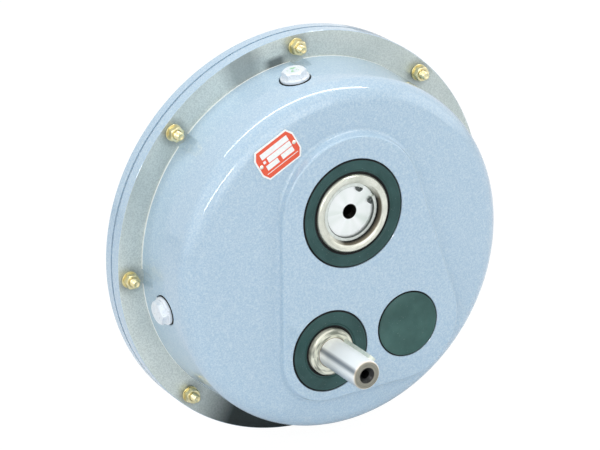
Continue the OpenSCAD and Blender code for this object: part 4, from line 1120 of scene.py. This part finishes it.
def set_world():
    """Plain pale surround for light; the camera and the gloss of metal see it white."""
    side_light, top_light = 0.41, 0.61
    world = bpy.data.worlds.new("surround")
    scene.world = world
    world.use_nodes = True
    tree = world.node_tree
    light = tree.nodes["Background"]
    light.inputs["Color"].default_value = (0.97, 0.98, 1, 1)
    parts = tree.nodes.new("ShaderNodeSeparateXYZ")
    tree.links.new(tree.nodes.new("ShaderNodeTexCoord").outputs["Generated"], parts.inputs[0])
    sky = tree.nodes.new("ShaderNodeMapRange")
    sky.inputs["From Min"].default_value = 0
    sky.inputs["To Min"].default_value = side_light
    sky.inputs["To Max"].default_value = top_light
    tree.links.new(parts.outputs["Z"], sky.inputs["Value"])
    tree.links.new(sky.outputs["Result"], light.inputs["Strength"])
    white = tree.nodes.new("ShaderNodeBackground")
    white.inputs["Color"].default_value = (1, 1, 1, 1)
    path = tree.nodes.new("ShaderNodeLightPath")
    seen = tree.nodes.new("ShaderNodeMath")
    seen.operation = "MAXIMUM"
    tree.links.new(path.outputs["Is Camera Ray"], seen.inputs[0])
    tree.links.new(path.outputs["Is Glossy Ray"], seen.inputs[1])
    mix = tree.nodes.new("ShaderNodeMixShader")
    tree.links.new(seen.outputs[0], mix.inputs[0])
    tree.links.new(light.outputs[0], mix.inputs[1])
    tree.links.new(white.outputs[0], mix.inputs[2])
    tree.links.new(mix.outputs[0], tree.nodes["World Output"].inputs["Surface"])


def softbox(name, start, end, width, power):
    """A rectangular lamp from start to end, offsets in metres from the casing's middle, which it faces."""
    middle = (cad_box[0] + cad_box[1]) / 2
    start, end = Vector(start), Vector(end)
    along = (end - start).normalized()
    away = (start + end) / 2
    away = (away - away.dot(along) * along).normalized()
    across = away.cross(along)
    at = middle + (start + end) / 2
    lamp = bpy.data.lights.new(name, "AREA")
    lamp.shape = "RECTANGLE"
    lamp.size, lamp.size_y = (end - start).length, width
    lamp.energy = power
    obj = bpy.data.objects.new(name, lamp)
    rows = [(*row, at[i]) for i, row in enumerate(zip(along, across, away))]
    obj.matrix_world = Matrix(rows + [(0, 0, 0, 1)])
    scene.collection.objects.link(obj)


def set_lights():
    """Long tubes draw the bright lines along the shoulder; wide boxes light the rest evenly."""
    softbox("tube_top", (-1.6, 1.1, 2), (1.85, -0.85, 2), 0.2, 28)
    softbox("tube_left", (-1.75, -0.95, 0.72), (-0.95, -1.55, 1.2), 0.12, 5)
    softbox("left_box", (-2.1, 0.4, 0.5), (-1.6, -1.2, 1), 1.4, 4.5)
    softbox("front_box", (-1.3, -1.9, 1), (1, -1.9, 1.1), 1.2, 10)
    softbox("right_box", (1.7, -1.4, 0.4), (2.1, 0, 0.7), 0.9, 3)


def set_camera():
    """Plain camera; the target is the middle of the flange's bare face, a little off the view's centre."""
    azimuth, elevation, roll = map(math.radians, (-29.4, 22.7, -2.7))
    sensor, distance, focal = 36.0, 2.97, 189.8
    off_x, off_y = 0.00404, -0.00695
    back = Vector((
        math.sin(azimuth) * math.cos(elevation),
        -math.cos(azimuth) * math.cos(elevation),
        math.sin(elevation),
    ))
    level = Vector((math.cos(azimuth), math.sin(azimuth), 0))
    upright = back.cross(level)
    right = level * math.cos(roll) + upright * math.sin(roll)
    up = upright * math.cos(roll) - level * math.sin(roll)
    target = Vector(laid((*FLANGE_AT, FRONT_FLANGE_T)).tolist())
    data = bpy.data.cameras.new("camera")
    data.sensor_width = sensor
    data.lens = focal
    data.clip_start, data.clip_end = 0.1, 50
    camera = bpy.data.objects.new("camera", data)
    camera.matrix_world = Matrix((
        (right.x, up.x, back.x, 0), (right.y, up.y, back.y, 0), (right.z, up.z, back.z, 0), (0, 0, 0, 1),
    ))
    camera.location = target + distance * back - off_x * right - off_y * up
    scene.collection.objects.link(camera)
    scene.camera = camera


set_stage()
set_world()
set_lights()
set_camera()
scene.view_settings.view_transform = "Standard"
